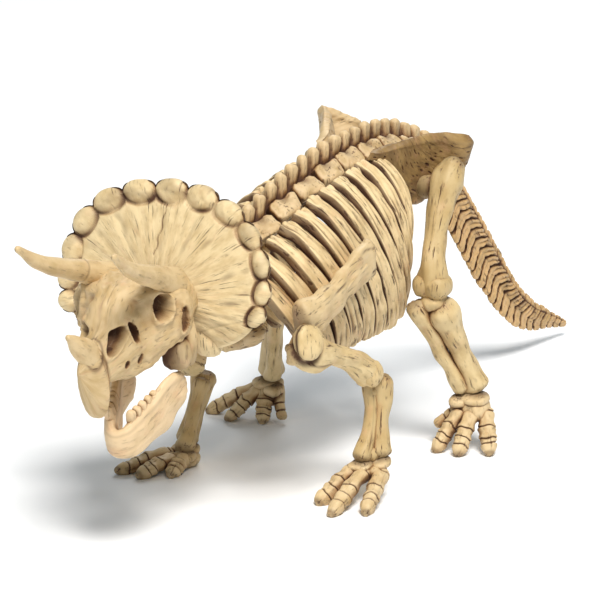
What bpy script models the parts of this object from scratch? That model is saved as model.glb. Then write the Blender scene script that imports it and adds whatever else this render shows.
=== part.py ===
"""Toy skeleton of a triceratops: a moulded plastic model about 236 mm long that stands on its four feet.

Lengths below are millimetres, +X is the animal's left, -Y is where it faces and +Z is up. Every sub-part is one
object. Bones are lofts through stations of (x, y, z, half across, half deep), sheets are grids with a thickness,
and lumps are stretched spheres. Pieces of one sub-part are joined by an exact Boolean union, and sub-parts stay
GAP apart.
"""

import math

import bmesh
import bpy
import numpy as np
from mathutils import Matrix, Vector

MM = 0.001
GAP = 0.3
LEFT, RIGHT = 1, -1
SIDE_NAME = {LEFT: "left", RIGHT: "right"}

# The floor's origin lies under the middle of the bounding box, so the spine is a little to one side of it.
SPINE_X = 3.3
MIDDLE_Y = 15.4

# Back: tips of the neural spines lie on two parabolas that meet at the highest point.
CREST_Y, CREST_Z = 24.0, 80.8
CREST_FALL_FRONT, CREST_FALL_REAR = 0.0037, 0.0088
VERTEBRA_PITCH = 4.85
FIRST_DORSAL_Y = -30.0
DORSAL_COUNT = 18
SACRUM_FROM = 15  # the last vertebrae, between the hips, have no free blocks
COLUMN_DEPTH = 11.5  # from the tip of a neural spine down to the middle of the column
NEURAL_HALF, NEURAL_HEIGHT, NEURAL_LOWER = 1.1, 8.4, 0.3
BLOCK_DEPTH = 6.6  # down to the middle of a transverse block
BLOCK_X = 3.3
RIB_HEAD_DEPTH = 8.8

# Rib cage
RIB_COUNT = 11
FIRST_RIB_Y, RIB_PITCH = -41.4, 5.9
RIB_INNER_X = 3.8  # centre of the ellipse that the ribs follow
RIB_TOP_ANGLE, RIB_LOW_ANGLE = 70.0, -56.0
RIB_HALF_WIDTH, RIB_HALF_DEPTH = 1.9, 1.5
RIB_STEPS = 4

# Head: its own axes are x left, forward and up, from the middle of the frill.
HEAD_AT = (-4.0, -57.0, 58.0)
HEAD_YAW, HEAD_PITCH, HEAD_ROLL = 5.3, 4.0, -2.6
FRILL_BEADS = 6  # on each side of the middle one
BEAD_TURN = 18.5  # degrees from bead to bead
FRILL_REACH = 160.0  # degrees from the top to the lower corner of the frill on each side
FRILL_THICK = 2.2

IVORY = (0.80, 0.66, 0.42)


def clear_scene():
    for old in list(bpy.data.objects):
        bpy.data.objects.remove(old, do_unlink=True)


def collection(name):
    made = bpy.data.collections.new(name)
    bpy.context.scene.collection.children.link(made)
    return made


def plastic(name, colour):
    made = bpy.data.materials.new(name)
    made.use_nodes = True
    shader = made.node_tree.nodes["Principled BSDF"]
    shader.inputs["Base Color"].default_value = (*colour, 1)
    shader.inputs["Roughness"].default_value = 0.55
    shader.inputs["Metallic"].default_value = 0
    made.diffuse_color = (*colour, 1)
    return made


clear_scene()
PARTS = collection("toy_triceratops_skeleton")
CUTTERS = collection("cutters")


# ---------------------------------------------------------------- shapes


def mesh_object(name, form):
    """An object from a bmesh in millimetres, with its faces turned outwards."""
    bmesh.ops.recalc_face_normals(form, faces=form.faces)
    bmesh.ops.scale(form, vec=(MM, MM, MM), verts=form.verts)
    mesh = bpy.data.meshes.new(name)
    form.to_mesh(mesh)
    form.free()
    return bpy.data.objects.new(name, mesh)


def loft(name, rings):
    """A closed solid through rings that have the same number of points."""
    form = bmesh.new()
    rows = [[form.verts.new(point) for point in ring] for ring in rings]
    count = len(rows[0])
    for low, high in zip(rows, rows[1:]):
        for i in range(count):
            j = (i + 1) % count
            form.faces.new((low[i], low[j], high[j], high[i]))
    form.faces.new(rows[0][::-1])
    form.faces.new(rows[-1])
    return mesh_object(name, form)


def section(centre, across, deep, half_across, half_deep, sides, power=2.0):
    """One ring: an ellipse, or a squarer outline for a power over 2."""
    ring = []
    for i in range(sides):
        turn = 2 * math.pi * (i + 0.5) / sides
        c, s = math.cos(turn), math.sin(turn)
        u = math.copysign(abs(c) ** (2 / power), c) * half_across
        v = math.copysign(abs(s) ** (2 / power), s) * half_deep
        ring.append(centre + across * u + deep * v)
    return ring


def bone(name, stations, across=(1, 0, 0), sides=7, power=2.0, grow=0.0, blunt_start=False):
    """A rounded bone through (x, y, z, half across, half deep) stations; grow makes it fatter all round."""
    points = [Vector(station[:3]) for station in stations]
    tangents = []
    for i in range(len(points)):
        before, after = points[max(i - 1, 0)], points[min(i + 1, len(points) - 1)]
        tangents.append((after - before).normalized())
    rings = []
    hint = Vector(across)
    for i, (point, tangent, station) in enumerate(zip(points, tangents, stations)):
        side = (hint - tangent * hint.dot(tangent)).normalized()
        deep = tangent.cross(side)
        half_a, half_d = station[3] + grow, station[4] + grow
        ends = [(0.0, 1.0)]
        if i == 0 and not blunt_start:
            ends = [(-0.5, 0.62), (0.0, 1.0)]
        if i == len(points) - 1:
            ends = [(0.0, 1.0), (0.5, 0.62)]
        for along, size in ends:
            middle = point + tangent * along * min(half_a, half_d)
            rings.append(section(middle, side, deep, half_a * size, half_d * size, sides, power))
    return loft(name, rings)


def lump(name, centre, halves, turns=(0, 0, 0), segments=8, rings=5, grow=0.0):
    """A stretched sphere; turns are degrees about X, Y and Z."""
    form = bmesh.new()
    bmesh.ops.create_uvsphere(form, u_segments=segments, v_segments=rings, radius=1)
    sizes = [half + grow for half in halves]
    spin = Matrix.Rotation(math.radians(turns[2]), 4, "Z") @ Matrix.Rotation(math.radians(turns[1]), 4, "Y")
    spin = spin @ Matrix.Rotation(math.radians(turns[0]), 4, "X")
    place = Matrix.Translation(centre) @ spin @ Matrix.Diagonal((*sizes, 1))
    bmesh.ops.transform(form, matrix=place, verts=form.verts)
    return mesh_object(name, form)


def block(name, centre, halves, taper=0.8, lean=0.0, grow=0.0):
    """A box whose top is smaller by taper and moved back by lean."""
    form = bmesh.new()
    bmesh.ops.create_cube(form, size=2)
    halves = [half + grow for half in halves]
    for vert in form.verts:
        top = vert.co.z > 0
        size = taper if top else 1.0
        vert.co = Vector(centre) + Vector(
            (vert.co.x * halves[0] * size, vert.co.y * halves[1] * size + lean * top, vert.co.z * halves[2])
        )
    return mesh_object(name, form)


def sheet(name, surface, us, vs, thick):
    """A closed plate: surface(u, v) is its middle and thick(u, v) its thickness."""
    grid = np.array([[surface(u, v) for v in vs] for u in us], float)
    depth = np.array([[thick(u, v) for v in vs] for u in us], float)[..., None]
    normal = np.cross(np.gradient(grid, axis=0), np.gradient(grid, axis=1))
    normal /= np.maximum(np.linalg.norm(normal, axis=2, keepdims=True), 1e-9)
    across, along = len(us), len(vs)
    form = bmesh.new()
    layers = []
    for way in (0.5, -0.5):
        layers.append([[form.verts.new(p) for p in row] for row in grid + normal * depth * way])
    for layer, turned in zip(layers, (False, True)):
        for i in range(across - 1):
            for j in range(along - 1):
                quad = (layer[i][j], layer[i + 1][j], layer[i + 1][j + 1], layer[i][j + 1])
                form.faces.new(quad[::-1] if turned else quad)
    rim = [(i, 0) for i in range(across)] + [(across - 1, j) for j in range(1, along)]
    rim += [(i, along - 1) for i in range(across - 2, -1, -1)] + [(0, j) for j in range(along - 2, 0, -1)]
    for (i, j), (m, n) in zip(rim, rim[1:] + rim[:1]):
        form.faces.new((layers[0][i][j], layers[0][m][n], layers[1][m][n], layers[1][i][j]))
    return mesh_object(name, form)


def group(name, pieces):
    made = bpy.data.collections.new(name)
    CUTTERS.children.link(made)
    for piece in pieces:
        made.objects.link(piece)
        piece.hide_render = True
        piece.display_type = "WIRE"
    return made


def boolean(obj, pieces, operation):
    modifier = obj.modifiers.new(operation.lower(), "BOOLEAN")
    modifier.operation = operation
    modifier.solver = "EXACT"
    modifier.operand_type = "COLLECTION"
    modifier.collection = group(f"{obj.name}_{operation.lower()}", pieces)


def node(name, pieces, colour=IVORY, cuts=(), soles=False):
    """One sub-part: its pieces joined, its cuts taken away, and its soles cut flat at the floor."""
    first = pieces[0]
    first.name = name
    first.data.name = name
    first.data.materials.append(plastic(name, colour))
    PARTS.objects.link(first)
    if len(pieces) > 1:
        boolean(first, pieces[1:], "UNION")
    cuts = list(cuts)
    if soles:
        floor = block("floor", (0, 0, -20), (200, 200, 20), taper=1)
        cuts.append(floor)
    if cuts:
        boolean(first, cuts, "DIFFERENCE")
    return first


# ---------------------------------------------------------------- back


def crest(y):
    """Height of the tips of the neural spines."""
    fall = CREST_FALL_FRONT if y < CREST_Y else CREST_FALL_REAR
    return CREST_Z - fall * (y - CREST_Y) ** 2


def block_row(side, vertebrae, grow):
    """The transverse blocks of one side: one bar that narrows between each two blocks."""
    stations = []
    for i in vertebrae:
        for along_y, half in ((0.0, 2.5), (2.4, 1.5)):
            y = FIRST_DORSAL_Y + i * VERTEBRA_PITCH + along_y
            stations.append((side * BLOCK_X, y, crest(y) - BLOCK_DEPTH, half, half * 0.85))
    return bone("transverse", stations[:-1], sides=4, power=4.0, grow=grow)


def neural_comb(vertebrae, grow):
    """The neural spines in one plate: a leaning tooth for each vertebra, and its foot inside the column."""
    outline = []
    for i in vertebrae:
        y = FIRST_DORSAL_Y + i * VERTEBRA_PITCH
        top = crest(y + 1) - NEURAL_LOWER
        root = top - NEURAL_HEIGHT
        outline += [(y - 1.9 - grow, root), (y - 0.5 - grow, top + grow)]
        outline += [(y + 2.5 + grow, top + grow), (y + 1.9 + grow, root)]
    for y in np.linspace(outline[-1][0], outline[0][0], 5):
        outline.append((y, crest(y) - COLUMN_DEPTH))
    half = NEURAL_HALF + grow
    return loft("neural", [[(x, y, z) for y, z in outline] for x in (-half, half)])


def spine_pieces(vertebrae=range(DORSAL_COUNT), grow=0.0):
    """Dorsal and sacral vertebrae: the column, the neural spines and the two rows of transverse blocks."""
    stations = []
    for y in range(-31, 54, 12):
        stations.append((0, y, crest(y) - COLUMN_DEPTH, 3.2, 4.0))
    pieces = [bone("column", stations, sides=6, grow=grow)]
    if len(vertebrae):
        pieces.append(neural_comb(vertebrae, grow))
        free = [i for i in vertebrae if i < SACRUM_FROM]
        pieces += [block_row(side, free, grow) for side in (LEFT, RIGHT) if free]
    return pieces


def make_neck():
    """Four neck vertebrae between the skull and the first rib."""
    stations = [(-4.0, -57, 55.6, 2.8, 3.0), (-2.8, -48, 55.8, 3.3, 3.4), (-0.8, -40, 56.2, 3.4, 3.6)]
    stations.append((0, -35.4, 56.8, 3.2, 3.8))
    pieces = [bone("column", stations)]
    for i in range(4):
        y = -50.6 + i * 4.6
        x = -3.2 + i * 0.9
        pieces.append(block("neural", (x, y, 60 + i * 1.1), (1.3, 1.7, 3.2), taper=0.8, lean=1.0))
        pieces.append(block("transverse", (x, y, 58.0 + i * 0.7), (5.8, 1.8, 1.8)))
    cuts = spine_pieces(range(0), grow=GAP)
    for side in (LEFT, RIGHT):
        cuts += rib_pieces(side, range(2), grow=GAP)
    node("neck", pieces, cuts=cuts)


def rib_plan(i):
    """(top y, top z, low z, half breadth of the chest, backward sweep) of rib i, counted from the neck."""
    top_y = FIRST_RIB_Y + i * RIB_PITCH
    top_z = crest(top_y) - RIB_HEAD_DEPTH
    late = max(0, i - 5.8)
    early = max(0, 2 - i)
    low_z = 31.8 + 0.25 * late + 0.8 * late**2 + 0.5 * early
    breadth = 18.0 - 0.55 * late - 1.2 * early
    sweep = 22.0 - 1.1 * late**2
    return top_y, top_z, low_z, breadth, max(sweep, 3.0)


def rib_point(plan, t, side):
    """The middle of a rib, from its head at t = 0 to its free end at t = 1."""
    top_y, top_z, low_z, breadth, sweep = plan
    high, low = math.radians(RIB_TOP_ANGLE), math.radians(RIB_LOW_ANGLE)
    turn = high + (low - high) * t
    radius = (top_z - low_z) / (math.sin(high) - math.sin(low))
    z = top_z + radius * (math.sin(turn) - math.sin(high))
    x = RIB_INNER_X + (breadth - RIB_INNER_X) * math.cos(turn)
    y = top_y + sweep * ((top_z - z) / (top_z - low_z)) ** 1.3
    return Vector((side * x, y, z))


def rib_pieces(side, ribs=range(RIB_COUNT), grow=0.0):
    """The ribs of one side, and the bar of their heads, which holds them together."""
    pieces = []
    heads = []
    for i in ribs:
        plan = rib_plan(i)
        stations = []
        for k in range(RIB_STEPS + 1):
            t = k / RIB_STEPS
            point = rib_point(plan, t, side)
            width = RIB_HALF_WIDTH * (1.0 - 0.12 * max(0, i - 7) * t)
            stations.append((*point, RIB_HALF_DEPTH * (1 - 0.2 * t) + grow, width + grow))
        pieces.append(rib_loft(stations, side))
        heads.append(rib_point(plan, 0.01, side))
    knuckles = []
    for head in heads:
        knuckles.append((*head, 2.0, 2.2))
    pieces.append(bone("rib heads", knuckles, sides=4, power=3.0, grow=grow))
    return pieces


def rib_loft(stations, side):
    """A slat whose depth points away from the axis of the chest."""
    points = [Vector(s[:3]) for s in stations]
    axis_z = (points[0].z + points[-1].z) / 2
    rings = []
    for i, (point, station) in enumerate(zip(points, stations)):
        before, after = points[max(i - 1, 0)], points[min(i + 1, len(points) - 1)]
        tangent = (after - before).normalized()
        out = point - Vector((side * RIB_INNER_X, point.y, axis_z))
        out = (out - tangent * out.dot(tangent)).normalized()
        wide = tangent.cross(out)
        shrink = 0.7 if i == len(points) - 1 else 1.0
        corners = ((1, 0.75), (-1, 0.85), (-1, -0.85), (1, -0.75))
        ring = [point + out * station[3] * a * shrink + wide * station[4] * b * shrink for a, b in corners]
        rings.append(ring)
    return loft("rib", rings)


# ---------------------------------------------------------------- tail

TAIL_LINE = [(55.5, 64.0), (66.5, 55.2), (78.6, 42.0), (91.5, 27.6), (100.6, 18.4), (112, 10.8), (123, 7.0), (133.4, 3.4)]
TAIL_ABOVE = [5.2, 5.2, 5.6, 5.6, 5.2, 4.4, 2.6, 0.6]
TAIL_BELOW = [4.4, 6.6, 7.0, 6.6, 5.6, 4.0, 2.2, 0.6]
TAIL_HALF = [3.2, 3.0, 2.7, 2.3, 2.0, 1.6, 1.1, 0.5]
TAIL_VERTEBRAE = 24
TAIL_GAP = 0.006  # of its length, between two lengths of tail


def along(values, t):
    """A smooth reading of the values at t from 0 to 1."""
    spots = np.linspace(0, 1, len(values))
    return float(np.interp(t, spots, values))


def tail_point(t):
    ys = [p[0] for p in TAIL_LINE]
    zs = [p[1] for p in TAIL_LINE]
    steps = np.hypot(np.diff(ys), np.diff(zs))
    spots = np.concatenate([[0], np.cumsum(steps)]) / steps.sum()
    return Vector((0, float(np.interp(t, spots, ys)), float(np.interp(t, spots, zs)))), float(
        np.interp(t, spots, np.linspace(0, 1, len(ys)))
    )


def tail_ring(t, reach):
    here, u = tail_point(t)
    ahead, _ = tail_point(min(t + 0.05, 1))
    behind, _ = tail_point(max(t - 0.05, 0))
    tangent = (ahead - behind).normalized()
    up = Vector((0, -tangent.z, tangent.y))
    above, below = along(TAIL_ABOVE, u) * reach, along(TAIL_BELOW, u) * reach
    half = along(TAIL_HALF, u)
    edge = min(0.8, half)
    lean = tangent * 1.6
    ring = []
    for x, h, back in (
        (half, 0, 0),
        (edge, above, 0.7),
        (-edge, above, 0.7),
        (-half, 0, 0),
        (-edge, -below, 1.0),
        (edge, -below, 1.0),
    ):
        ring.append(here + Vector((x, 0, 0)) + up * h + lean * back * along(TAIL_HALF, u) / 3)
    return ring


def make_tail():
    parts = (("tail_base", 0, 9), ("tail_middle", 9, 16), ("tail_tip", 16, TAIL_VERTEBRAE))
    for name, first, last in parts:
        rings = []
        for k in range(first, last):
            start = k / TAIL_VERTEBRAE + (TAIL_GAP if k == first else 0)
            rings.append(tail_ring(start, 0.84))
            rings.append(tail_ring((k + 0.55) / TAIL_VERTEBRAE, 1.0))
        rings.append(tail_ring(last / TAIL_VERTEBRAE, 0.84))
        node(name, [loft(name, rings)])


# ---------------------------------------------------------------- hips


ILIUM_ROLL = 0.062  # the hips sit a little lower on the left


def ilium_surface(side):
    """The blade of a hip bone: a row of ribs of the sheet, each from its low edge over its belly to its top edge."""
    tip = ((7.4, 13.5, 75.0), (7.5, 14.2, 75.8), (7.7, 15.0, 76.6))
    front = ((7.8, 19.0, 73.8), (8.2, 19.4, 75.4), (9.4, 20.0, 77.4))
    second = ((8.6, 22.6, 67.0), (9.6, 24.0, 73.0), (12.5, 25.5, 79.0))
    third = ((11.0, 29.5, 62.4), (13.0, 32.0, 71.5), (17.4, 33.5, 80.0))
    outer = ((13.0, 34.5, 62.4), (21.5, 38.5, 69.6), (21.0, 38.5, 79.3))
    rear = ((10.0, 42.0, 64.5), (14.5, 46.0, 69.0), (15.0, 47.5, 76.0))
    rows = np.array([tip, front, second, third, outer, rear])
    rows[:, :, 2] -= side * rows[:, :, 0] * ILIUM_ROLL
    rows[:, :, 0] *= side

    def surface(u, v):
        spot = u * (len(rows) - 1)
        i = min(int(spot), len(rows) - 2)
        part = spot - i
        low, middle, top = rows[i] * (1 - part) + rows[i + 1] * part
        return low * (1 - v) ** 2 + 2 * middle * v * (1 - v) + top * v**2

    return surface


def make_ilium(side):
    blade = sheet("blade", ilium_surface(side), np.linspace(0, 1, 8), np.linspace(0, 1, 4), lambda u, v: 2.4)
    pieces = [blade]
    pieces.append(bone("pubis", [(side * 10.0, 30, 68, 3.2, 3.6), (side * 10.4, 32, 62.5, 3.0, 3.4)]))
    cuts = [bone("socket", femur_stations(side), grow=GAP)]
    cuts += spine_pieces(range(8, DORSAL_COUNT), grow=GAP) + rib_pieces(side, range(8, RIB_COUNT), grow=GAP)
    node(f"ilium_{SIDE_NAME[side]}", pieces, cuts=cuts)


# ---------------------------------------------------------------- limbs

# Joints of each side. The toy's right limbs are turned in their sockets a little differently from its left ones.
ELBOW = {LEFT: (25.0, -16.0, 30.6), RIGHT: (-25.6, -15.0, 24.6)}
FOREARM_TOP = {LEFT: (26.0, -10.4, 26.4), RIGHT: (-24.8, -11.0, 19.6)}
WRIST = {LEFT: (27.6, -13.6, 10.6), RIGHT: (-24.6, -18.6, 6.4)}
KNEE = {LEFT: (23.0, 19.6, 40.8), RIGHT: (-23.0, 19.0, 36.4)}
SHOULDER_DROP = {LEFT: 0.0, RIGHT: 3.0}
HIP_DROP = {LEFT: 0.0, RIGHT: 2.6}
ANKLE = {LEFT: (28.4, 31.4, 14.6), RIGHT: (-28.2, 25.4, 13.0)}


def femur_stations(side):
    x = abs(KNEE[side][0])
    _, y, z = KNEE[side]
    drop = HIP_DROP[side]
    return [
        (side * (21.4 - drop), 32.0, 71.2 - drop, 3.0, 3.4),
        (side * (20.6 - drop), 30.0, 67.4 - drop, 4.2, 4.0),
        (side * (20.8 - drop), 27.0, 62.0 - drop, 3.5, 3.4),
        (side * (21.8 - drop / 2), 22.0, 53.0, 2.9, 2.9),
        (side * x, y, z + 7.0, 3.5, 3.6),
        (side * x, y, z + 3.0, 4.2, 3.9),
    ]


def make_femur(side):
    pieces = [bone("femur", femur_stations(side))]
    node(f"femur_{SIDE_NAME[side]}", pieces)


def shin_pieces(side, grow=0.0):
    kx, ky, kz = KNEE[side]
    ax, ay, az = ANKLE[side]
    tibia = []
    for t, a, d in ((0.0, 4.7, 4.0), (0.2, 3.7, 3.4), (0.5, 2.6, 2.6), (0.8, 2.7, 2.8), (1.0, 3.5, 3.4)):
        start = Vector((kx + side * 1.8, ky + 1.6, kz - 4.4))
        end = Vector((ax, ay, az + 1.8))
        tibia.append((*(start + (end - start) * t), a, d))
    fibula = []
    for t, r in ((0.0, 2.6), (0.25, 1.8), (0.6, 1.3), (1.0, 2.0)):
        start = Vector((kx - side * 2.8, ky - 3.4, kz - 2.6))
        end = Vector((ax - side * 2.2, ay - 2.8, az + 1.0))
        fibula.append((*(start + (end - start) * t), r, r))
    return [bone("tibia", tibia, grow=grow), bone("fibula", fibula, sides=6, grow=grow)]


def make_shin(side):
    cuts = [bone("knee", femur_stations(side), grow=GAP)]
    node(f"shin_{SIDE_NAME[side]}", shin_pieces(side), cuts=cuts)


def scapula_stations(side):
    drop = SHOULDER_DROP[side]
    return [
        (side * 21.8, -9.2, 56.7 - drop, 1.5, 5.0),
        (side * 22.2, -13.8, 55.7 - drop, 1.7, 4.8),
        (side * 22.4, -22.4, 52.5 - drop, 1.9, 3.8),
        (side * 22.2, -31.6, 49.3 - drop, 2.3, 4.4),
        (side * 21.4, -38.0, 47.4 - drop / 2, 2.6, 5.4),
    ]


def humerus_stations(side):
    ex, ey, ez = ELBOW[side]
    drop = (30.6 - ez) / 2
    return [
        (side * 22.6, -41.4, 42.6, 3.2, 4.4),
        (side * 23.2, -37.6, 40.4 - 0.2 * drop, 3.2, 5.0),
        (side * 24.0, -28.6, 37.6 - drop, 2.7, 2.6),
        (ex * 0.99, ey - 4.0, ez + 3.0, 3.2, 3.2),
        (ex, ey, ez, 4.0, 3.7),
    ]


def make_scapula(side):
    pieces = [bone("blade", scapula_stations(side))]
    cuts = [bone("socket", humerus_stations(side), grow=GAP)]
    node(f"scapula_{SIDE_NAME[side]}", pieces, cuts=cuts)


def make_humerus(side):
    node(f"humerus_{SIDE_NAME[side]}", [bone("humerus", humerus_stations(side))])


def forearm_pieces(side, grow=0.0):
    top, low = Vector(FOREARM_TOP[side]), Vector(WRIST[side])
    ulna = []
    for t, r in ((0.0, 3.1), (0.25, 2.4), (0.55, 1.95), (0.85, 2.4), (1.0, 2.8)):
        ulna.append((*(top + (low - top) * t), r, r))
    shift = Vector((-side * 2.2, -4.9, -0.6))
    radius = []
    for t, r in ((0.06, 2.0), (0.4, 1.6), (0.75, 1.6), (0.96, 2.1)):
        radius.append((*(top + (low - top) * t + shift), r, r))
    pieces = [bone("ulna", ulna, grow=grow), bone("radius", radius, sides=6, grow=grow)]
    for end in (low, top - Vector((0, 0, 1))):
        pieces.append(lump("bridge", end + shift / 2, (2.0, 2.6, 1.8), segments=6, rings=4, grow=grow))
    return pieces


def make_forearm(side):
    cuts = [bone("elbow", humerus_stations(side), grow=GAP)]
    node(f"forearm_{SIDE_NAME[side]}", forearm_pieces(side), cuts=cuts)


def toe(base, tip, thick):
    """A digit: the long bone, and a blunt hoof-like end on the floor."""
    base, tip = Vector(base), Vector((*tip, TOE_TIP_Z))
    stations = []
    for t, lift, size in ((0.0, 0.0, 1.0), (0.5, 0.25, 0.95), (1.0, 0, 0.62)):
        point = base + (tip - base) * t + Vector((0, 0, lift))
        stations.append((*point, thick * size, thick * size * 0.9))
    return bone("toe", stations, across=(tip - base).cross(Vector((0, 0, 1))), sides=6, blunt_start=True)


# Toes from the outer one to the inner one: the root in the wrist or ankle, and the tip on the floor.
TOE_TIP_Z = 0.9
FORE_TOES = {
    LEFT: [
        ((30.0, -16.4, 6.2), (34.4, -31.0)),
        ((26.6, -19.0, 6.4), (27.8, -35.8)),
        ((23.6, -18.6, 6.6), (20.8, -30.0)),
    ],
    RIGHT: [
        ((-27.0, -23.4, 3.4), (-33.4, -36.0)),
        ((-24.6, -25.2, 3.0), (-27.0, -36.2)),
        ((-22.0, -24.6, 3.0), (-21.0, -31.4)),
    ],
}
HIND_TOES = {
    LEFT: [
        ((32.0, 30.6, 8.4), (36.2, 25.6)),
        ((29.2, 28.4, 8.4), (29.8, 20.8)),
        ((26.4, 28.2, 8.4), (23.4, 20.8)),
    ],
    RIGHT: [
        ((-31.0, 24.4, 6.8), (-43.0, 18.6)),
        ((-29.8, 22.6, 6.8), (-35.0, 15.4)),
        ((-28.0, 22.6, 6.8), (-26.4, 18.0)),
    ],
}


def make_forefoot(side):
    x, y, z = WRIST[side]
    pieces = [lump("wrist", (x - side * 0.4, y - 2.4, z - 4.2), (4.4, 3.6, 2.6), segments=8, rings=4)]
    for base, tip in FORE_TOES[side]:
        pieces.append(toe(base, tip, 2.2))
    node(f"forefoot_{SIDE_NAME[side]}", pieces, cuts=forearm_pieces(side, grow=GAP), soles=True)


def make_hindfoot(side):
    x, y, z = ANKLE[side]
    pieces = [lump("ankle", (x + side * 0.4, y - 0.8, z - 3.8), (4.8, 3.8, 3.4), segments=7, rings=4)]
    for base, tip in HIND_TOES[side]:
        pieces.append(toe(base, tip, 2.3))
    reach = 8.0 if side == LEFT else 5.6
    inner = [(x - side * 3.4, y - 2.0, z - 5.0, 1.6, 1.6), (x - side * reach, y - 4.0, z - 9.0, 1.4, 1.4)]
    pieces.append(bone("inner toe", inner, sides=6))
    node(f"hindfoot_{SIDE_NAME[side]}", pieces, cuts=shin_pieces(side, grow=GAP), soles=True)


# ---------------------------------------------------------------- head


def head_matrix():
    """From head axes (x, -forward, up) in metres to the model's frame."""
    turn = Matrix.Rotation(math.radians(HEAD_YAW), 4, "Z") @ Matrix.Rotation(math.radians(HEAD_PITCH), 4, "X")
    turn = turn @ Matrix.Rotation(math.radians(HEAD_ROLL), 4, "Y")
    return Matrix.Translation(Vector(HEAD_AT) * MM) @ turn


def head_node(name, pieces, cuts=(), colour=IVORY):
    made = node(name, pieces, colour=colour, cuts=cuts)
    for obj in [made, *pieces, *cuts]:
        obj.matrix_world = head_matrix()
    return made


def rim(turn):
    """A point of the frill's rim; turn is degrees from the top towards the left."""
    a = math.radians(turn)
    if abs(turn) <= 90:
        fuller = 1.07 if turn < 0 else 1.0
        swell = 1 + (fuller - 1) * math.sin(2 * a) ** 2
        x = 25.8 * math.sin(a) * swell
        z = 20.4 * math.cos(a) * swell
        forward = -5.8 * math.cos(a) + 1.2 * math.sin(a) ** 8
    else:
        z = 16.0 * math.cos(a)
        x = math.copysign(25.8 * math.sqrt(1 - abs(z / 16.0) ** 2.6), turn)
        forward = 1.2 + 3.0 * math.sin(math.radians((abs(turn) - 90) * 2.4))
    return x, forward, z


def bead_swell(turn):
    """1 in the middle of a bead of the rim, and 0 between two beads and beyond the last one."""
    count = round(turn / BEAD_TURN)
    if abs(count) > FRILL_BEADS:
        return 0.0
    return math.sqrt(max(0.0, 1 - (2 * (turn / BEAD_TURN - count)) ** 2))


def frill_surface(turn, row):
    """The dish from its middle (row 0) over the groove inside the beads (1) and their crest (2) to the rim (3)."""
    x, forward, z = rim(turn)
    centre_forward, centre_z = 6.0, -2.0
    reach = (0.06, 0.88, 0.97, 1.02 + 0.085 * bead_swell(turn))[row]
    deep = centre_forward * max(1 - reach, 0) ** 1.3 + forward * reach
    return x * reach, -deep, centre_z * (1 - reach) + z * reach


def frill_thick(turn, row):
    return (FRILL_THICK, FRILL_THICK, FRILL_THICK + 1.6 * bead_swell(turn), 1.6)[row]


def frill_front(x, z):
    """How far forward a neighbour in front of the frill may lie at (x, z): the sheet's own slope, and a gap."""
    reach = math.hypot(x / 25.8, (z + 2.0) / 20.0)
    slope = 0.55 * max(-z, 0) - 0.15 * max(z, 0)
    return 6.0 * (1 - reach) ** 1.3 + slope * reach + FRILL_THICK / 2 + 4 * GAP


def make_frill():
    edge = (FRILL_BEADS + 0.5) * BEAD_TURN
    turns = [-FRILL_REACH, -(edge + FRILL_REACH) / 2]
    for i in range(-FRILL_BEADS, FRILL_BEADS + 1):
        turns += [(i + part) * BEAD_TURN for part in (-0.5, -0.2, 0.2)]
    turns += [edge, (edge + FRILL_REACH) / 2, FRILL_REACH]
    pieces = [sheet("dish", frill_surface, turns, range(4), frill_thick)]
    for side in (LEFT, RIGHT):
        turned = (0, side * 20, 0)
        pieces.append(lump("lobe", (side * 9.5, 0.4, -13.6), (4.0, 2.2, 3.2), turned, segments=6, rings=4))
    head_node("frill", pieces)


# Skull sections from the beak back: forward, top, bottom, half width, middle. It is glued on a little to the right.
SKULL = [
    (43.0, -8.2, -10.5, 0.9, 0.0),
    (42.0, -6.6, -14.0, 2.0, 0.0),
    (40.0, -5.2, -18.0, 2.7, 0.0),
    (37.6, -4.4, -20.6, 3.2, 0.0),
    (36.0, -3.9, -20.2, 3.6, 0.0),
    (35.4, -3.6, -13.2, 4.2, 0.0),
    (32.0, -1.2, -13.6, 5.4, 0.0),
    (28.4, 3.6, -15.0, 6.8, -0.2),
    (25.0, 6.0, -15.8, 8.0, -0.4),
    (21.4, 6.8, -15.8, 10.2, -0.8),
    (17.6, 7.0, -13.6, 13.4, -1.1),
    (14.6, 6.8, -10.4, 15.4, -1.3),
    (10.0, 6.4, -8.4, 13.6, -1.2),
]
SKULL_REAR = (5.6, -8.0, 11.8, -1.0)  # top, bottom, half width, middle of its rear face, which follows the frill


def skull_loft(name, grow=0.0):
    """The braincase and snout, and a rear face that stays GAP in front of the frill."""
    rings = []
    for forward, top, bottom, half, middle in SKULL:
        centre = Vector((middle, -forward, (top + bottom) / 2))
        height = (top - bottom) / 2 + grow
        rings.append(section(centre, Vector((1, 0, 0)), Vector((0, 0, 1)), half + grow, height, 10, power=2.6))
    top, bottom, half, middle = SKULL_REAR
    for size in (1.0, 0.55, 0.15):
        centre = Vector((middle, 0, (top + bottom) / 2))
        height = (top - bottom) / 2
        ring = section(centre, Vector((1, 0, 0)), Vector((0, 0, 1)), half * size, height * size, 10, power=2.6)
        for point in ring:
            point.y = -frill_front(point.x, point.z)
        rings.append(ring)
    return loft(name, rings)


def brow_horn_stations(side):
    return [
        (side * 9.7, -17.4, 5.4, 3.5, 3.5),
        (side * 10.2, -21.5, 7.2, 3.3, 3.3),
        (side * 10.9, -29.0, 10.6, 2.9, 2.9),
        (side * 11.8, -37.0, 15.2, 2.0, 2.0),
        (side * 12.3, -43.0, 19.8, 0.9, 0.9),
    ]


def nose_horn_stations():
    return [(0, -37.0, -6.6, 2.3, 4.6), (0, -40.4, -3.4, 2.0, 3.2), (0, -43.6, -0.8, 1.3, 1.8), (0, -45.4, 0.8, 0.7, 0.8)]


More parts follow.
